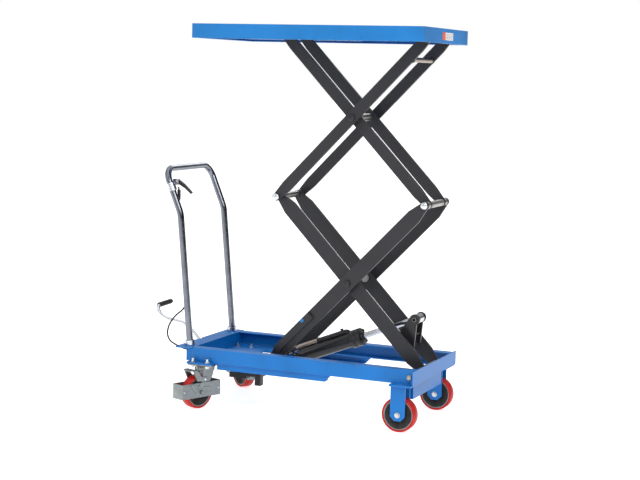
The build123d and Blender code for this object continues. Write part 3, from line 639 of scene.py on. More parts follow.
# Meshes
class Shape:
    """A mesh under construction, in metres in the row frame."""

    POLE = 1e-7
    WELD_SIDES = 10
    WELD_TIP = 0.7
    WELD_SWELL = 0.16
    WELD_WANDER = 0.12
    WANDER_SCALE = 260.0
    TUBE_QUARTER = 4

    def __init__(self) -> None:
        """Starts an empty mesh."""
        self.mesh = bmesh.new()

    def lathe(self, at: Vector, axis: Vector, profile: Outline, steps: int = 48,
              closed: bool = False, facets: bool = False) -> "Shape":
        """Turns a profile about an axis.

        Args:
            at: A point on the axis, where distances along it start.
            axis: The axis.
            profile: Pairs of distance along the axis and radius, in millimetres.
            steps: How many sides a full turn has.
            closed: Whether the profile is a ring that joins its own start.
            facets: Whether the sides stay flat, as on a nut.

        Returns:
            This shape.
        """
        along = axis.normalized()
        first = (ACROSS if abs(along.y) < 0.9 else UP).cross(along).normalized()
        second = along.cross(first)
        rings = []
        for distance, radius in profile:
            centre = at + along * distance * MM
            if radius < self.POLE:
                rings.append([self.mesh.verts.new(centre)])
                continue
            turns = (2 * math.pi * step / steps for step in range(steps))
            rings.append([self.mesh.verts.new(
                centre + (first * math.cos(turn) + second * math.sin(turn)) * radius * MM)
                for turn in turns])
        for low, high in zip(rings, rings[1:] + (rings[:1] if closed else [])):
            self._strip(low, high, steps, not facets)
        return self

    def ends(self, centre: Vector, axis: Vector, reach: float, profile: Outline, steps: int = 48,
             closed: bool = False) -> "Shape":
        """Turns one profile at both ends of an axle or pin.

        Args:
            centre: The middle of the pin.
            axis: Its direction.
            reach: How far each end lies from the middle, in millimetres.
            profile: The profile, with distances counted outwards from the end.
            steps: How many sides a full turn has.
            closed: Whether the profile is a ring that joins its own start.

        Returns:
            This shape.
        """
        for end in (-1, 1):
            self.lathe(centre + axis * end * reach * MM, axis * end, profile, steps, closed)
        return self

    def _strip(self, low: list, high: list, steps: int, smooth: bool = True) -> None:
        """Joins two rings, either of which may be a single point.

        Args:
            low: The first ring's vertices.
            high: The second ring's vertices.
            steps: How many sides the strip has.
            smooth: Whether its faces are shaded smooth.
        """
        for step in range(steps):
            after = (step + 1) % steps
            corners = [low[step % len(low)], low[after % len(low)],
                       high[after % len(high)], high[step % len(high)]]
            unique = list(dict.fromkeys(corners))
            if len(unique) > 2:
                self.mesh.faces.new(unique).smooth = smooth

    def plate(self, at: Vector, right: Vector, up: Vector, outline: Outline, thickness: float) -> "Shape":
        """Makes a flat plate from its outline.

        Args:
            at: The outline's origin, in the middle of the plate's thickness.
            right: The direction of the outline's first coordinate.
            up: The direction of its second.
            outline: The outline's points, in millimetres.
            thickness: The plate's thickness, in millimetres.

        Returns:
            This shape.
        """
        through = right.cross(up).normalized() * thickness * MM / 2
        points = [at + (right * x + up * y) * MM for x, y in outline]
        back, front = ([self.mesh.verts.new(point + shift) for point in points]
                       for shift in (-through, through))
        self._strip(back, front, len(points), False)
        self.mesh.faces.new(back)
        self.mesh.faces.new(front)
        return self

    def bead(self, points: Sequence[Vector], radius: float, ripple: float = 3.2) -> "Shape":
        """Lays a weld bead along straight runs.

        Args:
            points: The bead's route, in metres.
            radius: The bead's radius, in millimetres.
            ripple: The distance between ripples, in millimetres.

        Returns:
            This shape.
        """
        for start, end in zip(points, points[1:]):
            run = (end - start).length / MM
            count = max(4, int(run / (ripple / 4)))
            profile = [(-radius * self.WELD_TIP, 0.0)]
            for step in range(count + 1):
                here = run * step / count
                swell = 1 - self.WELD_SWELL + self.WELD_SWELL * abs(math.sin(math.pi * here / ripple))
                place = (start + (end - start) * (step / count)) * self.WANDER_SCALE
                wander = noise.noise(place) * self.WELD_WANDER
                profile.append((here, radius * (swell + wander)))
            profile.append((run + radius * self.WELD_TIP, 0.0))
            self.lathe(start, end - start, profile, self.WELD_SIDES)
        return self

    def tube(self, points: Sequence[Vector], radius: float) -> "Shape":
        """Sweeps a round section along a smooth line through control points.

        Args:
            points: The control points, in metres.
            radius: The radius, in millimetres.

        Returns:
            This shape.
        """
        curve = bpy.data.curves.new("route", "CURVE")
        curve.dimensions = "3D"
        curve.resolution_u = 10
        curve.bevel_depth = radius * MM
        curve.bevel_resolution = self.TUBE_QUARTER
        curve.use_fill_caps = True
        spline = curve.splines.new("NURBS")
        spline.points.add(len(points) - 1)
        for control, point in zip(spline.points, points):
            control.co = (*point, 1.0)
        spline.order_u = 3
        spline.use_endpoint_u = True
        carrier = bpy.data.objects.new("route", curve)
        swept = bpy.data.meshes.new_from_object(carrier)
        self.mesh.from_mesh(swept)
        bpy.data.objects.remove(carrier)
        bpy.data.meshes.remove(swept)
        bpy.data.curves.remove(curve)
        bmesh.ops.remove_doubles(self.mesh, verts=self.mesh.verts, dist=1e-6)
        for face in self.mesh.faces:
            face.smooth = True
        return self

    def hex_bolt(self, at: Vector, axis: Vector, width: float, washer: bool = True) -> "Shape":
        """Makes a chamfered hexagon head, on a washer if asked.

        Args:
            at: The middle of the face that it stands on.
            axis: The way that it stands out.
            width: The head's width across its corners, in millimetres.
            washer: Whether a washer lies under it.

        Returns:
            This shape.
        """
        base = 0.0
        if washer:
            base = width * 0.1
            rim = width * 0.68
            self.lathe(at, axis, [(0.0, width * 0.2), (0.0, rim), (base * 0.7, rim), (base, rim * 0.96),
                                  (base, width * 0.2)], 32, closed=True)
        top = base + width * 0.36
        corner = width / 2
        self.lathe(at, axis, [(base, 0.0), (base, corner), (top - corner * 0.14, corner),
                              (top, corner * 0.84), (top, 0.0)], 6, facets=True)
        return self

    def finish(self, name: str, look: Finish, body: str, slot: Slot,
               bevel: float = 0.0) -> bpy.types.Object:
        """Turns the mesh into a piece that rides on a body.

        Args:
            name: The piece's name.
            look: Its finish.
            body: The CAD body that it rides on.
            slot: A slot of the record; not used.
            bevel: The rounding of its sharp edges, in millimetres.

        Returns:
            The piece.
        """
        bmesh.ops.recalc_face_normals(self.mesh, faces=self.mesh.faces)
        data = bpy.data.meshes.new(name)
        self.mesh.to_mesh(data)
        self.mesh.free()
        piece = bpy.data.objects.new(name, data)
        bpy.context.scene.collection.objects.link(piece)
        data.materials.append(look.material())
        if bevel:
            round_edges(piece, bevel)
        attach(piece, body)
        LOG.info("piece %s on %s: %d faces", name, body, len(data.polygons))
        return piece


def round_edges(piece: bpy.types.Object, width: float) -> None:
    """Rounds a piece's sharp edges with a modifier.

    Args:
        piece: The piece.
        width: The rounding, in millimetres.
    """
    bevel = piece.modifiers.new("rounding", "BEVEL")
    bevel.width = width * MM
    bevel.segments = 2
    bevel.limit_method = "ANGLE"
    bevel.angle_limit = math.radians(SHARP)
    bevel.harden_normals = False
    bevel.use_clamp_overlap = True


def dress(nodes: Sequence[str], look: Finish) -> None:
    """Gives CAD nodes their finish.

    Args:
        nodes: The nodes' names.
        look: The finish.
    """
    for name in nodes:
        piece = frame["nodes"][name]
        if not piece.material_slots:
            piece.data.materials.append(look.material())
        for slot in piece.material_slots:
            slot.material = look.material()
        LOG.info("node %s dressed in %s", name, look.name)


# Sub-assemblies
@dataclass
class Deck:
    """The sheet-metal deck with its label, its lugs and its welds."""

    label_length: float = 117.0
    label_height: float = 27.0
    label_drop: float = 27.5
    label_shift: float = 12.5
    stripe_share: float = 0.27
    film: float = 0.4
    bar_rows: int = 4
    bar_columns: int = 3
    bar_pitch: tuple[float, float] = (26.0, 5.4)
    bar_margin: tuple[float, float] = (6.0, 5.5)
    bar_length: float = 19.0
    bar_half: float = 1.2
    bar_film: float = 0.2
    sheet: float = 4.2
    lug_out: float = 118.6
    lug_run: tuple[float, float] = (-24.0, 15.0)
    stitch_starts: tuple[int, ...] = (-420, -300, -180, -60)
    stitch: float = 34.0
    weld: float = 2.6

    def build(self) -> None:
        """Builds the deck's pieces."""
        dress(["deck_pan", "deck_tracks_and_lugs"], DECK_BLUE)
        self.label()
        self.welds()

    def label(self) -> None:
        """Builds a plain label with a stripe and a few ruled bars on the deck's front end."""
        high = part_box("deck_pan")[1]
        face = Vector((high.x, self.label_shift * MM, high.z - self.label_drop * MM))
        face.x += self.film * MM / 2
        half = self.label_length / 2
        split = -half + self.label_length * self.stripe_share
        rows = self.label_height / 2
        panel = Shape().plate(face, ACROSS, UP, rectangle(split, half, -rows, rows), self.film)
        panel.finish("deck_label_panel", LABEL_WHITE, "deck", Slot.BLUE)
        stripe = Shape().plate(face, ACROSS, UP, rectangle(-half, split, -rows, rows), self.film)
        stripe.finish("deck_label_stripe", LABEL_ORANGE, "deck", Slot.BLUE)
        bars = Shape()
        raised = face + FORWARD * self.film * MM * 0.6
        for row in range(self.bar_rows):
            level = rows - self.bar_margin[1] - row * self.bar_pitch[1]
            for column in range(self.bar_columns):
                start = split + self.bar_margin[0] + column * self.bar_pitch[0]
                bar = rectangle(start, start + self.bar_length, level - self.bar_half, level + self.bar_half)
                bars.plate(raised, ACROSS, UP, bar, self.bar_film)
        bars.finish("deck_label_bars", LABEL_GREY, "deck", Slot.BLUE)

    def welds(self) -> None:
        """Lays the welds of the lugs and tracks under the sheet."""
        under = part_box("deck_pan")[1].z / MM - self.sheet
        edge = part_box("deck_tracks_and_lugs")[1].y / MM + 1.0
        lug = pivot("deck_pivot") / MM
        beads = Shape()
        for side in Side:
            across = lug.y + side.value * self.lug_out
            beads.bead([spot(lug.x + along, across, under) for along in self.lug_run], self.weld)
            for start in self.stitch_starts:
                run = (start, start + self.stitch)
                beads.bead([spot(along, side.value * edge, under) for along in run], self.weld)
        beads.finish("deck_welds", DECK_BLUE, "deck", Slot.BLUE)


@dataclass
class Scissor:
    """The two stages of arms with their shafts, pins, rollers and welds."""

    dome_radius: float = 13.4
    dome_rim: float = 1.2
    dome_steps: int = 8
    tall_dome: float = 5.5
    flat_dome: float = 2.0
    prop_fold: tuple[float, float, float, float] = (203.0, 232.0, -4.0, 25.0)
    prop_paint: tuple[float, float, float, float] = (186.0, 200.0, 13.0, 24.0)
    axle_radius: float = 10.05
    ring_radius: float = 13.5
    ring_width: float = 1.2

    def build(self) -> None:
        """Builds the scissor's pieces."""
        dress(["lower_inner_arms", "lower_outer_arms", "upper_inner_arms", "upper_outer_arms",
               "safety_prop"], ARM_BLACK)
        dress(["left_mid_shaft", "right_mid_shaft", "lower_centre_pins", "upper_centre_shaft",
               "fixed_pivot_shaft"], BARE)
        dress(["upper_tie_bar"], BROWNED)
        dress(["foot_axle", "top_axle", "deck_pivot_shaft"], OILED)
        dress([f"{place}_roller_{side.word}" for place in ("foot", "top") for side in Side], BARE)
        self.mid_heads("left_mid", "lower_inner_stage")
        self.mid_heads("right_mid", "lower_outer_stage")
        self.centre_heads("lower_centre", "lower_centre_pins", "lower_outer_stage")
        self.centre_heads("upper_centre", "upper_centre_shaft", "upper_inner_stage")
        self.tie_welds()
        self.retainers("foot", "lower_outer_stage")
        self.retainers("top", "upper_inner_stage")
        self.prop_end()

    def domed(self, node: str, height: float) -> Shape:
        """Turns a domed head on each end of a shaft.

        Args:
            node: The shaft's node.
            height: How far the heads stand out, in millimetres.

        Returns:
            The two heads.
        """
        profile = [(-6.0, 0.0), (-6.0, self.dome_radius), (-self.dome_rim, self.dome_radius)]
        for step in range(self.dome_steps + 1):
            turn = math.radians(90 * step / self.dome_steps)
            profile.append((-self.dome_rim + (height + self.dome_rim) * math.sin(turn),
                            self.dome_radius * math.cos(turn)))
        return Shape().ends(midline(node), ACROSS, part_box(node)[1].y / MM, profile, 40)

    def mid_heads(self, name: str, body: str) -> None:
        """Caps one of the shafts between the stages with bright heads.

        Args:
            name: The shaft's place.
            body: The body that it rides on.
        """
        self.domed(f"{name}_shaft", self.tall_dome).finish(f"{name}_caps", PLATED, body, Slot.STEEL)

    def centre_heads(self, name: str, node: str, body: str) -> None:
        """Caps a stage's centre pivot with black heads, each with a grease nipple.

        Args:
            name: The pivot's place.
            node: The node of its pins or shaft.
            body: The body that it rides on.
        """
        caps = self.domed(node, self.flat_dome)
        caps.ends(midline(node), ACROSS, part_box(node)[1].y / MM + self.flat_dome, [
            (-2.0, 0.0), (-2.0, 4.5), (0.6, 4.5), (0.6, 2.4), (2.6, 2.0), (3.4, 0.9), (3.4, 0.0)], 16)
        caps.finish(f"{name}_caps", ARM_BLACK, body, Slot.BLACK)

    def prop_end(self) -> None:
        """Adds the folded end of the safety prop with its painted stop."""
        head = middle("right_mid_shaft")
        foot = pivot("lower_cross") * 2 - head
        arm = (head - foot).normalized()
        over = arm.cross(ACROSS)
        face = Vector((foot.x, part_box("safety_prop")[0].y, foot.z))
        fold = Shape().plate(face + ACROSS * 1.2 * MM, arm, over, rectangle(*self.prop_fold), 1.8)
        fold.finish("prop_end", ARM_BLACK, "safety_prop_arm", Slot.BLACK, bevel=0.8)
        stop = Shape().plate(face + ACROSS * 1.6 * MM, arm, over, rectangle(*self.prop_paint), 1.0)
        stop.finish("prop_stop", DECK_BLUE, "safety_prop_arm", Slot.BLACK, bevel=0.3)

    def tie_welds(self) -> None:
        """Welds the tie bar to the upper outer arms."""
        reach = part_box("upper_tie_bar")[1].y / MM - 1.2
        beads = Shape().ends(midline("upper_tie_bar"), ACROSS, reach, [
            (0.4, 9.0), (-1.0, 10.6), (-1.0, 11.6), (0.4, 12.2), (0.8, 10.0)], 40, closed=True)
        beads.finish("tie_bar_welds", ARM_BLACK, "upper_outer_stage", Slot.BLACK)

    def retainers(self, place: str, body: str) -> None:
        """Puts a retaining ring outside each roller of an axle.

        Args:
            place: The axle's place, foot or top.
            body: The body that it rides on.
        """
        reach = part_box(f"{place}_roller_far")[1].y / MM + 0.3
        rings = Shape().ends(midline(f"{place}_axle"), ACROSS, reach, [
            (0.0, self.axle_radius), (0.0, self.ring_radius), (self.ring_width, self.ring_radius),
            (self.ring_width, self.axle_radius)], 32, closed=True)
        rings.finish(f"{place}_axle_rings", PLATED, body, Slot.STEEL)


@dataclass
class Hydraulics:
    """The ram, its lever, its saddle, and the pump with its pedal and valve."""

    bolt_ring: float = 27.5
    flange: float = 22.0
    flange_radius: float = 34.0
    barrel_end: float = 272.0
    foot_radius: float = 16.0
    pipe: float = 9.0
    pipe_lift: float = 36.3
    pipe_join: float = 120.0
    knob_place: float = 222.0
    lever_tube: float = 124.0
    ear_half: float = 29.8
    ear_faces: tuple[float, float] = (29.0, 39.0)
    tank: Triple = (-200.0, 12.0, 138.0)
    tank_radius: float = 23.9
    band_radius: float = 25.2
    band_width: float = 10.0
    pump: Triple = (-273.5, 28.0, 166.1)
    pump_bolt_shift: float = 20.0
    grip_lean: Triple = (0.0, 114.0, 3.0)
    rib: float = 4.6

    def build(self) -> None:
        """Builds the hydraulic pieces."""
        dress(["ram_barrel", "ram_lever", "ram_saddle"], RAM_BLACK)
        dress(["piston_rod", "pump_plunger"], CHROME)
        dress(["ram_lever_pin"], OILED)
        dress(["pump_unit", "valve_lever"], PUMP_BLACK)
        dress(["pedal_rod"], PLATED)
        self.ram_cap()
        self.ram_pipe()
        self.lever_trim()
        self.pin_ends()
        self.pump_trim()
        self.grip()

    @property
    def along(self) -> Vector:
        """The ram's direction, from its foot to its rod's eye."""
        return joint_axis("ram_stroke")

    @property
    def above(self) -> Vector:
        """The direction square to the ram, on its upper side."""
        return self.along.cross(ACROSS)

    def on_ram(self, place: float, out: float = 0.0) -> Vector:
        """Gives a point beside the ram's axis.

        Args:
            place: How far along it lies from the middle of the foot pin, in millimetres.
            out: How far above the axis it lies, in millimetres.

        Returns:
            The point, in metres.
        """
        eye = pivot("ram_rod_pivot")
        pin_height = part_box("ram_barrel")[0].z + self.foot_radius * MM
        foot = eye - self.along * (eye.z - pin_height) / self.along.z
        return foot + (self.along * place + self.above * out) * MM

    def ram_cap(self) -> None:
        """Builds the bolted head of the ram with its gland and wiper."""
        start = self.on_ram(self.barrel_end)
        thick, rim = self.flange, self.flange_radius
        cap = Shape()
        cap.lathe(start, self.along, [
            (0.1, 11.2), (0.1, rim - 1.4), (1.4, rim), (thick - 1.4, rim), (thick, rim - 1.4),
            (thick, 21.0), (23.0, 20.0), (28.6, 20.0), (30.0, 18.6), (30.0, 13.0), (27.5, 11.2)],
            64, closed=True)
        cap.lathe(start, self.along, [
            (-thick, 27.1), (-thick, rim - 1.4), (1.4 - thick, rim), (-1.4, rim), (0.0, rim - 1.4),
            (0.0, 27.1)], 64, closed=True)
        for turn in range(4):
            angle = math.radians(45 + 90 * turn)
            out = (ACROSS * math.cos(angle) + self.above * math.sin(angle)) * self.bolt_ring * MM
            face = self.along * thick * MM
            cap.hex_bolt(start + face + out, self.along, 12.0)
            cap.hex_bolt(start - face + out * 1.02, -self.along, 11.0, washer=False)
        piece = cap.finish("ram_cap", RAM_BLACK, "ram_body", Slot.BLACK)
        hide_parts("ram_cap_and_pipe")
        wiper = Shape().lathe(self.on_ram(self.barrel_end + 30), self.along, [
            (-2.0, 11.1), (-2.0, 14.4), (1.2, 14.4), (2.4, 12.6), (2.4, 11.1)], 40, closed=True)
        wiper.finish("rod_wiper", GRIP_RUBBER, "ram_body", Slot.BLACK)

    def ram_pipe(self) -> None:
        """Builds the return pipe on top of the barrel: a bare lower half, a painted upper half."""
        lift, join = self.pipe_lift, self.pipe_join
        lower = Shape().tube([self.on_ram(place, out) for place, out in (
            (19, lift - 3), (24, lift), (60, lift), (join - 20, lift), (join, lift))], self.pipe)
        lower.finish("ram_pipe_lower", BROWNED, "ram_body", Slot.BLACK)
        upper = Shape().tube([self.on_ram(place, out) for place, out in (
            (join - 2, lift), (join + 20, lift), (226, lift), (240, lift - 1), (246, 30.0))],
            self.pipe + 0.3)
        upper.lathe(self.on_ram(join - 8, lift), self.along, [
            (0.0, self.pipe), (0.0, 10.6), (1.0, 11.2), (11.0, 11.2), (12.0, 10.6), (12.0, self.pipe)],
            6, closed=True, facets=True)
        upper.lathe(self.on_ram(self.knob_place, lift + 5), self.above, [
            (0.0, 0.0), (0.0, 5.0), (5.0, 5.0), (5.5, 6.6), (9.0, 6.6), (10.4, 5.0), (10.4, 0.0)], 24)
        upper.finish("ram_pipe_upper", RAM_BLACK, "ram_body", Slot.BLACK)

    def lever_trim(self) -> None:
        """Adds the web between the lever's ears, and the welds that hold them to their tube."""
        fixed = pivot("lift")
        arm = (pivot("left_mid") - fixed).normalized()
        out = ACROSS.cross(arm)
        root = fixed + arm * self.lever_tube * MM
        half = self.ear_half
        web = Shape().plate(root + out * 36 * MM, ACROSS, out,
                            [(-half, -22.0), (half, -22.0), (half, 8.0), (16.0, 14.0), (-16.0, 14.0),
                             (-half, 8.0)], 6.0)
        web.finish("ram_lever_web", RAM_BLACK, "lower_inner_stage", Slot.BLACK, bevel=1.0)
        beads = Shape()
        for side in Side:
            for offset in self.ear_faces:
                y = side.outward * offset * MM
                for turn in (-1, 1):
                    beads.bead([root + y + out * 13 * MM + arm * turn * 9 * MM,
                                root + y + out * 9 * MM + arm * turn * 25 * MM], 2.4)
            face = root + side.outward * 71.6 * MM
            beads.lathe(face, -side.outward, [
                (0.0, 16.0), (0.0, 20.0), (1.6, 19.2), (3.6, 17.2), (4.2, 16.0)], 48, closed=True)
        beads.finish("ram_lever_welds", RAM_BLACK, "lower_inner_stage", Slot.BLACK)

    def pin_ends(self) -> None:
        """Faces the ends of the lever's pin."""
        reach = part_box("ram_lever_pin")[1].y - 0.6 * MM
        faces = Shape()
        for side in Side:
            face = midline("ram_lever_pin")
            face.y = side.value * reach
            faces.lathe(face, side.outward, [
                (-1.0, 0.0), (-1.0, 6.4), (0.2, 6.4), (0.6, 5.6), (0.6, 0.0)], 32)
        faces.finish("ram_pin_ends", PLATED, "lower_inner_stage", Slot.STEEL)

    def pump_trim(self) -> None:
        """Adds the tank's bands and filler plug, and the bolts on the pump's block."""
        tank = spot(*self.tank)
        trim = Shape()
        for shift in (-28.0, 24.0):
            trim.lathe(tank + FORWARD * shift * MM, FORWARD, [
                (0.0, self.tank_radius), (0.0, self.band_radius), (self.band_width, self.band_radius),
                (self.band_width, self.tank_radius)], 56, closed=True)
        trim.hex_bolt(tank + UP * 23.6 * MM, UP, 13.0)
        middle_x, out, top = self.pump
        for side in Side:
            for shift in (-self.pump_bolt_shift, self.pump_bolt_shift):
                trim.hex_bolt(spot(middle_x + shift, side.value * out, top), UP, 9.0)
        trim.finish("pump_trim", OILED, "chassis", Slot.BLACK)

    def grip(self) -> None:
        """Builds the pedal's ribbed grip in place of the plain one."""
        low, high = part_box("pedal_grip")
        lean = Vector(self.grip_lean).normalized()
        start = Vector(((low.x + high.x) / 2, low.y, low.z + 10 * MM))
        length = (high.y - low.y) / MM / lean.y
        profile = [(0.0, 6.6), (0.0, 10.0), (2.0, 10.0), (3.0, 8.6)]
        for step in range(int((length - 10) / self.rib)):
            here = 4.0 + step * self.rib
            profile += [(here, 8.9), (here + 0.6, 9.9), (here + 2.6, 9.9), (here + 3.2, 8.9)]
        profile += [(length - 5.0, 9.2), (length - 2.0, 8.6), (length - 0.6, 6.0), (length, 0.0)]
        grip = Shape().lathe(start, lean, profile, 48)
        piece = grip.finish("pedal_grip_ribbed", GRIP_RUBBER, "pedal", Slot.RUBBER)
        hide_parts("pedal_grip")


@dataclass
class Base:
    """The base frame: rails, end plates, tray, caster plates, and their welds and washers."""

    bolt_shifts: tuple[float, float] = (30.0, 42.0)
    fork_half: float = 27.0
    weld: float = 2.6
    thin_weld: float = 2.0
    fork_weld: float = 2.2
    gap: float = 0.4
    rail_runs: tuple[tuple[int, int], ...] = ((366, 398), (408, 444), (-450, -425), (-392, -360))
    tray_stitches: tuple[int, ...] = (-320, -200, -80, 20)
    tray_stitch: int = 40
    tray_out: float = 206.6

    def build(self) -> None:
        """Builds the base's pieces."""
        dress(["side_rail_near", "side_rail_far", "front_end_plate", "front_cross_member",
               "rear_cross_member", "pump_tray", "caster_plates", "rigid_forks"], FRAME_BLUE)
        dress(["chassis_bolts"], PLATED)
        self.washers()
        self.welds()

    def washers(self) -> None:
        """Puts a washer round each caster bolt's nut and each axle's head."""
        rings = Shape()
        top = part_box("caster_plates")[1].z
        along, across = self.bolt_shifts
        for side in Side:
            swivel = pivot(f"rear_caster_{side.word}_swivel")
            for x in (-along, along):
                for y in (-across, across):
                    rings.lathe(Vector((swivel.x + x * MM, swivel.y + y * MM, top)), UP, [
                        (0.02, 8.0), (0.02, 10.5), (0.9, 10.5), (1.2, 10.1), (1.2, 8.0)], 32, closed=True)
            rings.ends(pivot(f"front_wheel_{side.word}_spin"), ACROSS, self.fork_half, [
                (0.05, 6.2), (0.05, 10.6), (0.9, 10.6), (1.2, 10.2), (1.2, 6.2)], 36, closed=True)
        rings.finish("chassis_washers", PLATED, "chassis", Slot.ZINC)

    def welds(self) -> None:
        """Lays the welds of the base frame."""
        beads = Shape()
        low, high = (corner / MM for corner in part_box("side_rail_far"))
        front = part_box("front_end_plate")[0].x / MM - 0.6
        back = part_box("rear_cross_member")[1].x / MM - 4.4
        fork_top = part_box("rigid_forks")[1].z - 1.0 * MM
        for side in Side:
            out, inner = side.value * (high.y + self.gap), side.value * (low.y - self.gap)
            beads.bead([spot(front, out, low.z + 4), spot(front, out, high.z - 4)], self.weld)
            beads.bead([spot(front, inner, low.z), spot(front, inner + side.value * 30, low.z)], self.weld)
            for run in self.rail_runs:
                beads.bead([spot(x, out, low.z + 0.5) for x in run], self.weld)
            for start in self.tray_stitches:
                beads.bead([spot(x, side.value * self.tray_out, low.z - 0.6)
                            for x in (start, start + self.tray_stitch)], self.thin_weld)
            wheel = pivot(f"front_wheel_{side.word}_spin")
            for face in (-1, 1):
                y = wheel.y + face * (self.fork_half + self.gap) * MM
                beads.bead([Vector((wheel.x + x * MM, y, fork_top)) for x in (-26, 26)], self.fork_weld)
            beads.bead([spot(back, inner, low.z + 6), spot(back, inner, high.z - 8)], self.thin_weld)
        beads.finish("base_welds", FRAME_BLUE, "chassis", Slot.BLUE)


@dataclass
class Wheels:
    """The four wheels: a cast hub with a moulded tread, turned at high detail."""

    radius: float = 63.5
    half_width: float = 19.0
    hub_radius: float = 55.5
    shoulder: float = 4.5
    shoulder_steps: int = 6
    axle_radius: float = 6.2
    face_inset: float = 1.8

    def build(self) -> None:
        """Builds each wheel in place of its plain hub and tread."""
        for place in ("front", "rear"):
            for side in Side:
                self.tread(place, side)
                self.hub(place, side)

    def tread(self, place: str, side: Side) -> None:
        """Turns one tread with its rounded shoulders and two moulding lines.

        Args:
            place: The wheel's end of the table, front or rear.
            side: The wheel's side.
        """
        body = f"{place}_wheel_{side.word}"
        half, edge = self.half_width, self.radius
        profile = [(-half, self.hub_radius), (-half, edge - self.shoulder)]
        for step in range(1, self.shoulder_steps + 1):
            turn = math.radians(90 * step / self.shoulder_steps)
            profile.append((-half + self.shoulder * (1 - math.cos(turn)),
                            edge - self.shoulder * (1 - math.sin(turn))))
        line = half - self.shoulder - 2
        right = [(line + 1.0, edge - 0.05), (line + 0.5, edge - 0.8), (line - 0.5, edge - 0.8),
                 (line - 1.0, edge)]
        profile += [(-along, radius) for along, radius in right]
        profile += [(-along, radius) for along, radius in reversed(profile)]
        tread = Shape().lathe(pivot(f"{body}_spin"), joint_axis(f"{body}_spin"), profile, 128, closed=True)
        piece = tread.finish(f"tread_{place}_{side.word}", RED_TREAD, body, Slot.TREAD)
        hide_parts(f"{place}_tread_{side.word}")

    def hub(self, place: str, side: Side) -> None:
        """Turns one dished hub, with its painted rims and its bearings' seals.

        Args:
            place: The wheel's end of the table, front or rear.
            side: The wheel's side.
        """
        body = f"{place}_wheel_{side.word}"
        centre, axis = pivot(f"{body}_spin"), joint_axis(f"{body}_spin")
        label = f"{place}_{side.word}"
        rim = self.hub_radius
        half = self.half_width
        face = half - self.face_inset
        right = [(0.0, rim - 0.05), (half - 2.4, rim - 0.05), (half - 1.6, rim - 0.6),
                 (half - 1.5, rim - 2.6), (half - 2.4, rim - 4.0), (half - 6.4, rim - 6.6),
                 (half - 8.6, rim - 9.0), (half - 9.0, rim - 14.0), (half - 9.4, 27.0),
                 (half - 8.4, 25.6), (half - 7.6, 24.4), (half - 8.8, 22.0), (half - 6.5, 18.4),
                 (half - 2.6, 17.0), (face, 16.0), (face, 12.6)]
        profile = right + [(-along, radius) for along, radius in reversed(right[1:])]
        inner = [(-face, self.axle_radius), (face, self.axle_radius)]
        hub = Shape().lathe(centre, axis, profile + inner, 96, closed=True)
        piece = hub.finish(f"hub_{label}", IRON, body, Slot.HUB)
        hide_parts(f"{place}_hub_{side.word}")
        rims = Shape().ends(centre, axis, half - 1.6, [
            (-0.6, rim - 3.4), (0.35, rim - 2.8), (0.5, rim - 1.6), (0.35, rim - 0.5),
            (-0.6, rim - 0.1)], 96, closed=True)
        rims.finish(f"hub_rims_{label}", RIM_GREY, body, Slot.HUB)
        seals = Shape().ends(centre, axis, face, [
            (-0.6, 7.0), (0.6, 7.6), (1.4, 8.4), (1.4, 10.6), (0.6, 11.8), (-0.6, 12.4)], 48, closed=True)
        seals.finish(f"bearing_seals_{label}", PLATED, body, Slot.HUB)


@dataclass
class SwivelCasters:
    """The rear casters' forks, brakes and toe guards, with their trim."""

    rivet_shift: float = 84.0
    rivet_lift: float = 9.0
    rivet_out: float = 28.7
    pin_out: float = 29.0
    race_drop: float = 10.6

    def build(self) -> None:
        """Builds the casters' pieces."""
        dress(["swivel_heads"], GALVANISED)
        for side in Side:
            dress([f"swivel_fork_{side.word}", f"brake_pedal_{side.word}", f"toe_guard_{side.word}"],
                  GALVANISED)
            self.trim(side)

    def trim(self, side: Side) -> None:
        """Adds the rivets, pin heads and bearing race of one caster.

        Args:
            side: The caster's side.
        """
        body = f"rear_caster_{side.word}"
        axle = pivot(f"rear_wheel_{side.word}_spin")
        axis = joint_axis(f"rear_wheel_{side.word}_spin")
        ahead = axis.cross(UP).normalized()
        rivets = Shape()
        for shift in (-self.rivet_shift, self.rivet_shift):
            rivets.ends(axle + ahead * shift * MM + UP * self.rivet_lift * MM, axis, self.rivet_out, [
                (0.0, 0.0), (0.0, 4.2), (1.0, 3.9), (1.9, 2.4), (2.2, 0.0)], 20)
        rivets.ends(pivot(f"brake_{side.word}_press"), axis, self.pin_out, [
            (0.0, 0.0), (0.0, 6.0), (1.2, 5.6), (2.4, 3.4), (2.8, 0.0)], 24)
        rivets.finish(f"guard_rivets_{side.word}", PLATED, body, Slot.ZINC)
        swivel = pivot(f"{body}_swivel")
        swivel.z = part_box("swivel_heads")[1].z - self.race_drop * MM
        race = Shape().lathe(swivel, UP, [
            (-6.2, 30.0), (-6.2, 35.6), (-4.4, 37.0), (-1.6, 37.0), (0.0, 35.4), (0.0, 30.0)], 72,
            closed=True)
        race.finish(f"swivel_race_{side.word}", BARE, "chassis", Slot.ZINC)


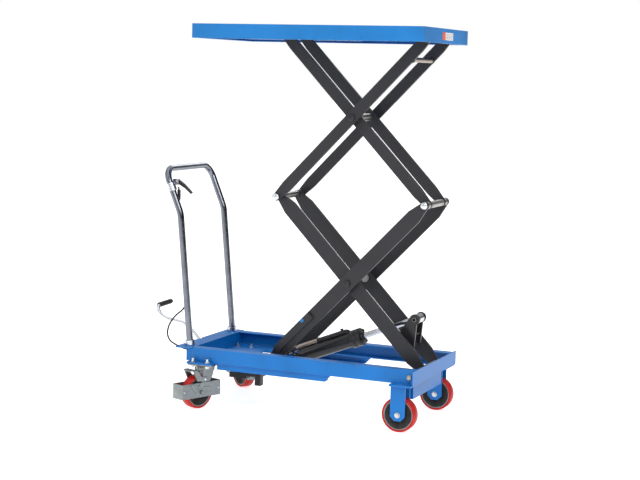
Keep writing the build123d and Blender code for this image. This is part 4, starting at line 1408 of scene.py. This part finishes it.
@dataclass
class Handle:
    """The push handle with its sockets, release lever and cable."""

    leg_out: float = 180.0
    clamp_half: float = 8.6
    boot_place: tuple[float, float] = (-547.5, -154.0)
    boot_drop: float = 14.0
    boot_lean: Triple = (0.15, -0.18, -0.97)
    screw_lift: float = 10.0
    screw_out: float = 18.6

    def build(self) -> None:
        """Builds the handle's pieces."""
        # The tube takes the darker copy of the chrome, which is painted shade.
        dress(["handle_tube"], SHADED_TUBE_CHROME)
        dress(["handle_sockets"], CHROME)
        dress(["release_clamp"], PLATED)
        dress(["release_lever"], RAM_BLACK)
        dress(["release_cable"], CABLE_SHEATH)
        self.release_trim()
        self.socket_trim()

    def release_trim(self) -> None:
        """Adds the lever's pin heads and the cable's boot."""
        pins = Shape().ends(pivot("release_squeeze"), ACROSS, self.clamp_half, [
            (-0.6, 0.0), (-0.6, 4.6), (0.8, 4.6), (1.6, 3.4), (1.8, 0.0)], 24)
        pins.finish("release_pins", PLATED, "chassis", Slot.ZINC)
        top = spot(*self.boot_place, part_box("release_cable")[1].z / MM - self.boot_drop)
        boot = Shape().lathe(top, Vector(self.boot_lean), [
            (-3.0, 3.1), (-3.0, 5.0), (-1.6, 6.4), (10.0, 6.6), (12.0, 5.6), (14.0, 6.3), (18.0, 6.1),
            (20.0, 5.2), (22.0, 5.9), (26.0, 5.7), (28.0, 4.9), (30.0, 5.4), (33.0, 5.2), (36.0, 4.4),
            (36.0, 3.1)], 36, closed=True)
        boot.finish("cable_boot", GRIP_RUBBER, "chassis", Slot.RUBBER)

    def socket_trim(self) -> None:
        """Adds a weld ring and a set screw at the foot of each handle leg."""
        low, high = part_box("handle_sockets")
        beads = Shape()
        screws = Shape()
        for side in Side:
            centre = Vector(((low.x + high.x) / 2, side.value * self.leg_out * MM, low.z))
            beads.lathe(centre, UP, [(0.0, 17.4), (0.0, 20.6), (1.4, 20.0), (2.8, 18.0), (2.8, 17.4)], 48,
                        closed=True)
            screws.hex_bolt(centre + (UP * self.screw_lift - FORWARD * self.screw_out) * MM, -FORWARD, 9.0,
                            washer=False)
        beads.finish("socket_welds", FRAME_BLUE, "chassis", Slot.BLUE)
        screws.finish("socket_screws", PLATED, "chassis", Slot.ZINC)


@dataclass(frozen=True)
class Lamp:
    """One soft lamp of the studio."""

    name: str
    place: Triple
    width: float
    height: float
    power: float


@dataclass
class Studio:
    """The floor, the light and the camera."""

    focal_length: float = 84.6
    sensor: float = 36.0
    position: Triple = (2.1954, -5.2022, 1.275)
    heading: float = 23.0992
    tilt: float = -6.3483
    roll: float = 1.4979
    dark_side: Triple = (0.98, 0.17, 0.0)
    dark_shade: Colour = (0.012, 0.013, 0.016)
    bands: Outline = ((0.0, 0.25), (0.42, 0.22), (0.5, 0.13), (0.62, 0.32), (1.0, 1.35))
    target: Triple = (0.0, 0.0, 0.7)
    lamps: tuple[Lamp, ...] = (Lamp("key_lamp", (3.4, -2.6, 3.2), 2.2, 2.2, 78.0),
                               Lamp("side_lamp", (-3.6, -3.2, 2.2), 1.2, 2.6, 26.0),
                               Lamp("front_lamp", (0.6, -5.4, 2.6), 2.6, 1.4, 22.0),
                               Lamp("back_lamp", (-1.0, 4.2, 3.4), 3.0, 1.6, 40.0))
    reach: float = 60.0
    floor_drop: float = 0.0005

    def build(self) -> None:
        """Builds the studio."""
        self.floor()
        self.world()
        self.lights()
        self.camera()
        bpy.context.scene.view_settings.view_transform = "Standard"

    def floor(self) -> None:
        """Lays the pale floor."""
        data = bpy.data.meshes.new("studio_floor")
        far = self.reach
        data.from_pydata([(x, y, 0.0) for x, y in rectangle(-far, far, -far, far)], [], [(0, 1, 2, 3)])
        ground = bpy.data.objects.new("studio_floor", data)
        ground.location.z = -self.floor_drop
        bpy.context.scene.collection.objects.link(ground)
        data.materials.append(FLOOR.material())

    def world(self) -> None:
        """Lights the room: white to look at, with darker bands for the metal to reflect."""
        world = bpy.data.worlds.new("studio")
        world.use_nodes = True
        bpy.context.scene.world = world
        graph = Graph(world.node_tree)
        direction = graph.node("ShaderNodeTexCoord", output="Generated")
        level = graph.node("ShaderNodeSeparateXYZ", {}, {0: direction}, "Z")
        sweep = graph.node("ShaderNodeValToRGB", {"stops": self.bands}, {0: level * 0.5 + 0.5})
        facing = graph.node("ShaderNodeVectorMath", {"operation": "DOT_PRODUCT"},
                            {0: direction, 1: self.dark_side}, "Value")
        sweep = graph.blend(facing.ease(0.5, 0.72) * 0.9, sweep, self.dark_shade)
        seen = graph.node("ShaderNodeLightPath", output="Is Camera Ray")
        shade = graph.blend(seen, sweep, EVEN)
        light = graph.node("ShaderNodeBackground", {}, {"Color": shade, "Strength": 1.0})
        graph.node("ShaderNodeOutputWorld", {}, {"Surface": light})

    def lights(self) -> None:
        """Hangs the soft lamps."""
        for lamp in self.lamps:
            data = bpy.data.lights.new(lamp.name, "AREA")
            data.shape = "RECTANGLE"
            data.size = lamp.width
            data.size_y = lamp.height
            data.energy = lamp.power
            hung = bpy.data.objects.new(lamp.name, data)
            hung.location = lamp.place
            aim = Vector(self.target) - Vector(lamp.place)
            hung.rotation_euler = aim.to_track_quat("-Z", "Y").to_euler()
            bpy.context.scene.collection.objects.link(hung)

    def camera(self) -> None:
        """Sets the camera from its heading, tilt and roll."""
        data = bpy.data.cameras.new("camera")
        data.lens = self.focal_length
        data.sensor_width = self.sensor
        data.clip_end = 4 * self.reach
        heading, tilt, roll = (math.radians(angle) for angle in (self.heading, self.tilt, self.roll))
        ahead = Vector((-math.sin(heading) * math.cos(tilt), math.cos(heading) * math.cos(tilt),
                        math.sin(tilt)))
        level = Vector((math.cos(heading), math.sin(heading), 0.0))
        above = level.cross(ahead)
        right = level * math.cos(roll) + above * math.sin(roll)
        upward = above * math.cos(roll) - level * math.sin(roll)
        turn = Matrix((right, upward, -ahead)).transposed().to_4x4()
        camera = bpy.data.objects.new("camera", data)
        camera.matrix_world = Matrix.Translation(self.position) @ turn
        bpy.context.scene.collection.objects.link(camera)
        bpy.context.scene.camera = camera


def main() -> None:
    """Builds the studio and every sub-assembly."""
    logging.basicConfig(level=logging.INFO, format="%(name)s: %(message)s")
    for part in (Studio(), Deck(), Scissor(), Hydraulics(), Base(), Wheels(), SwivelCasters(), Handle()):
        LOG.info("building %s", type(part).__name__)
        part.build()


if __name__ == "__main__":
    main()
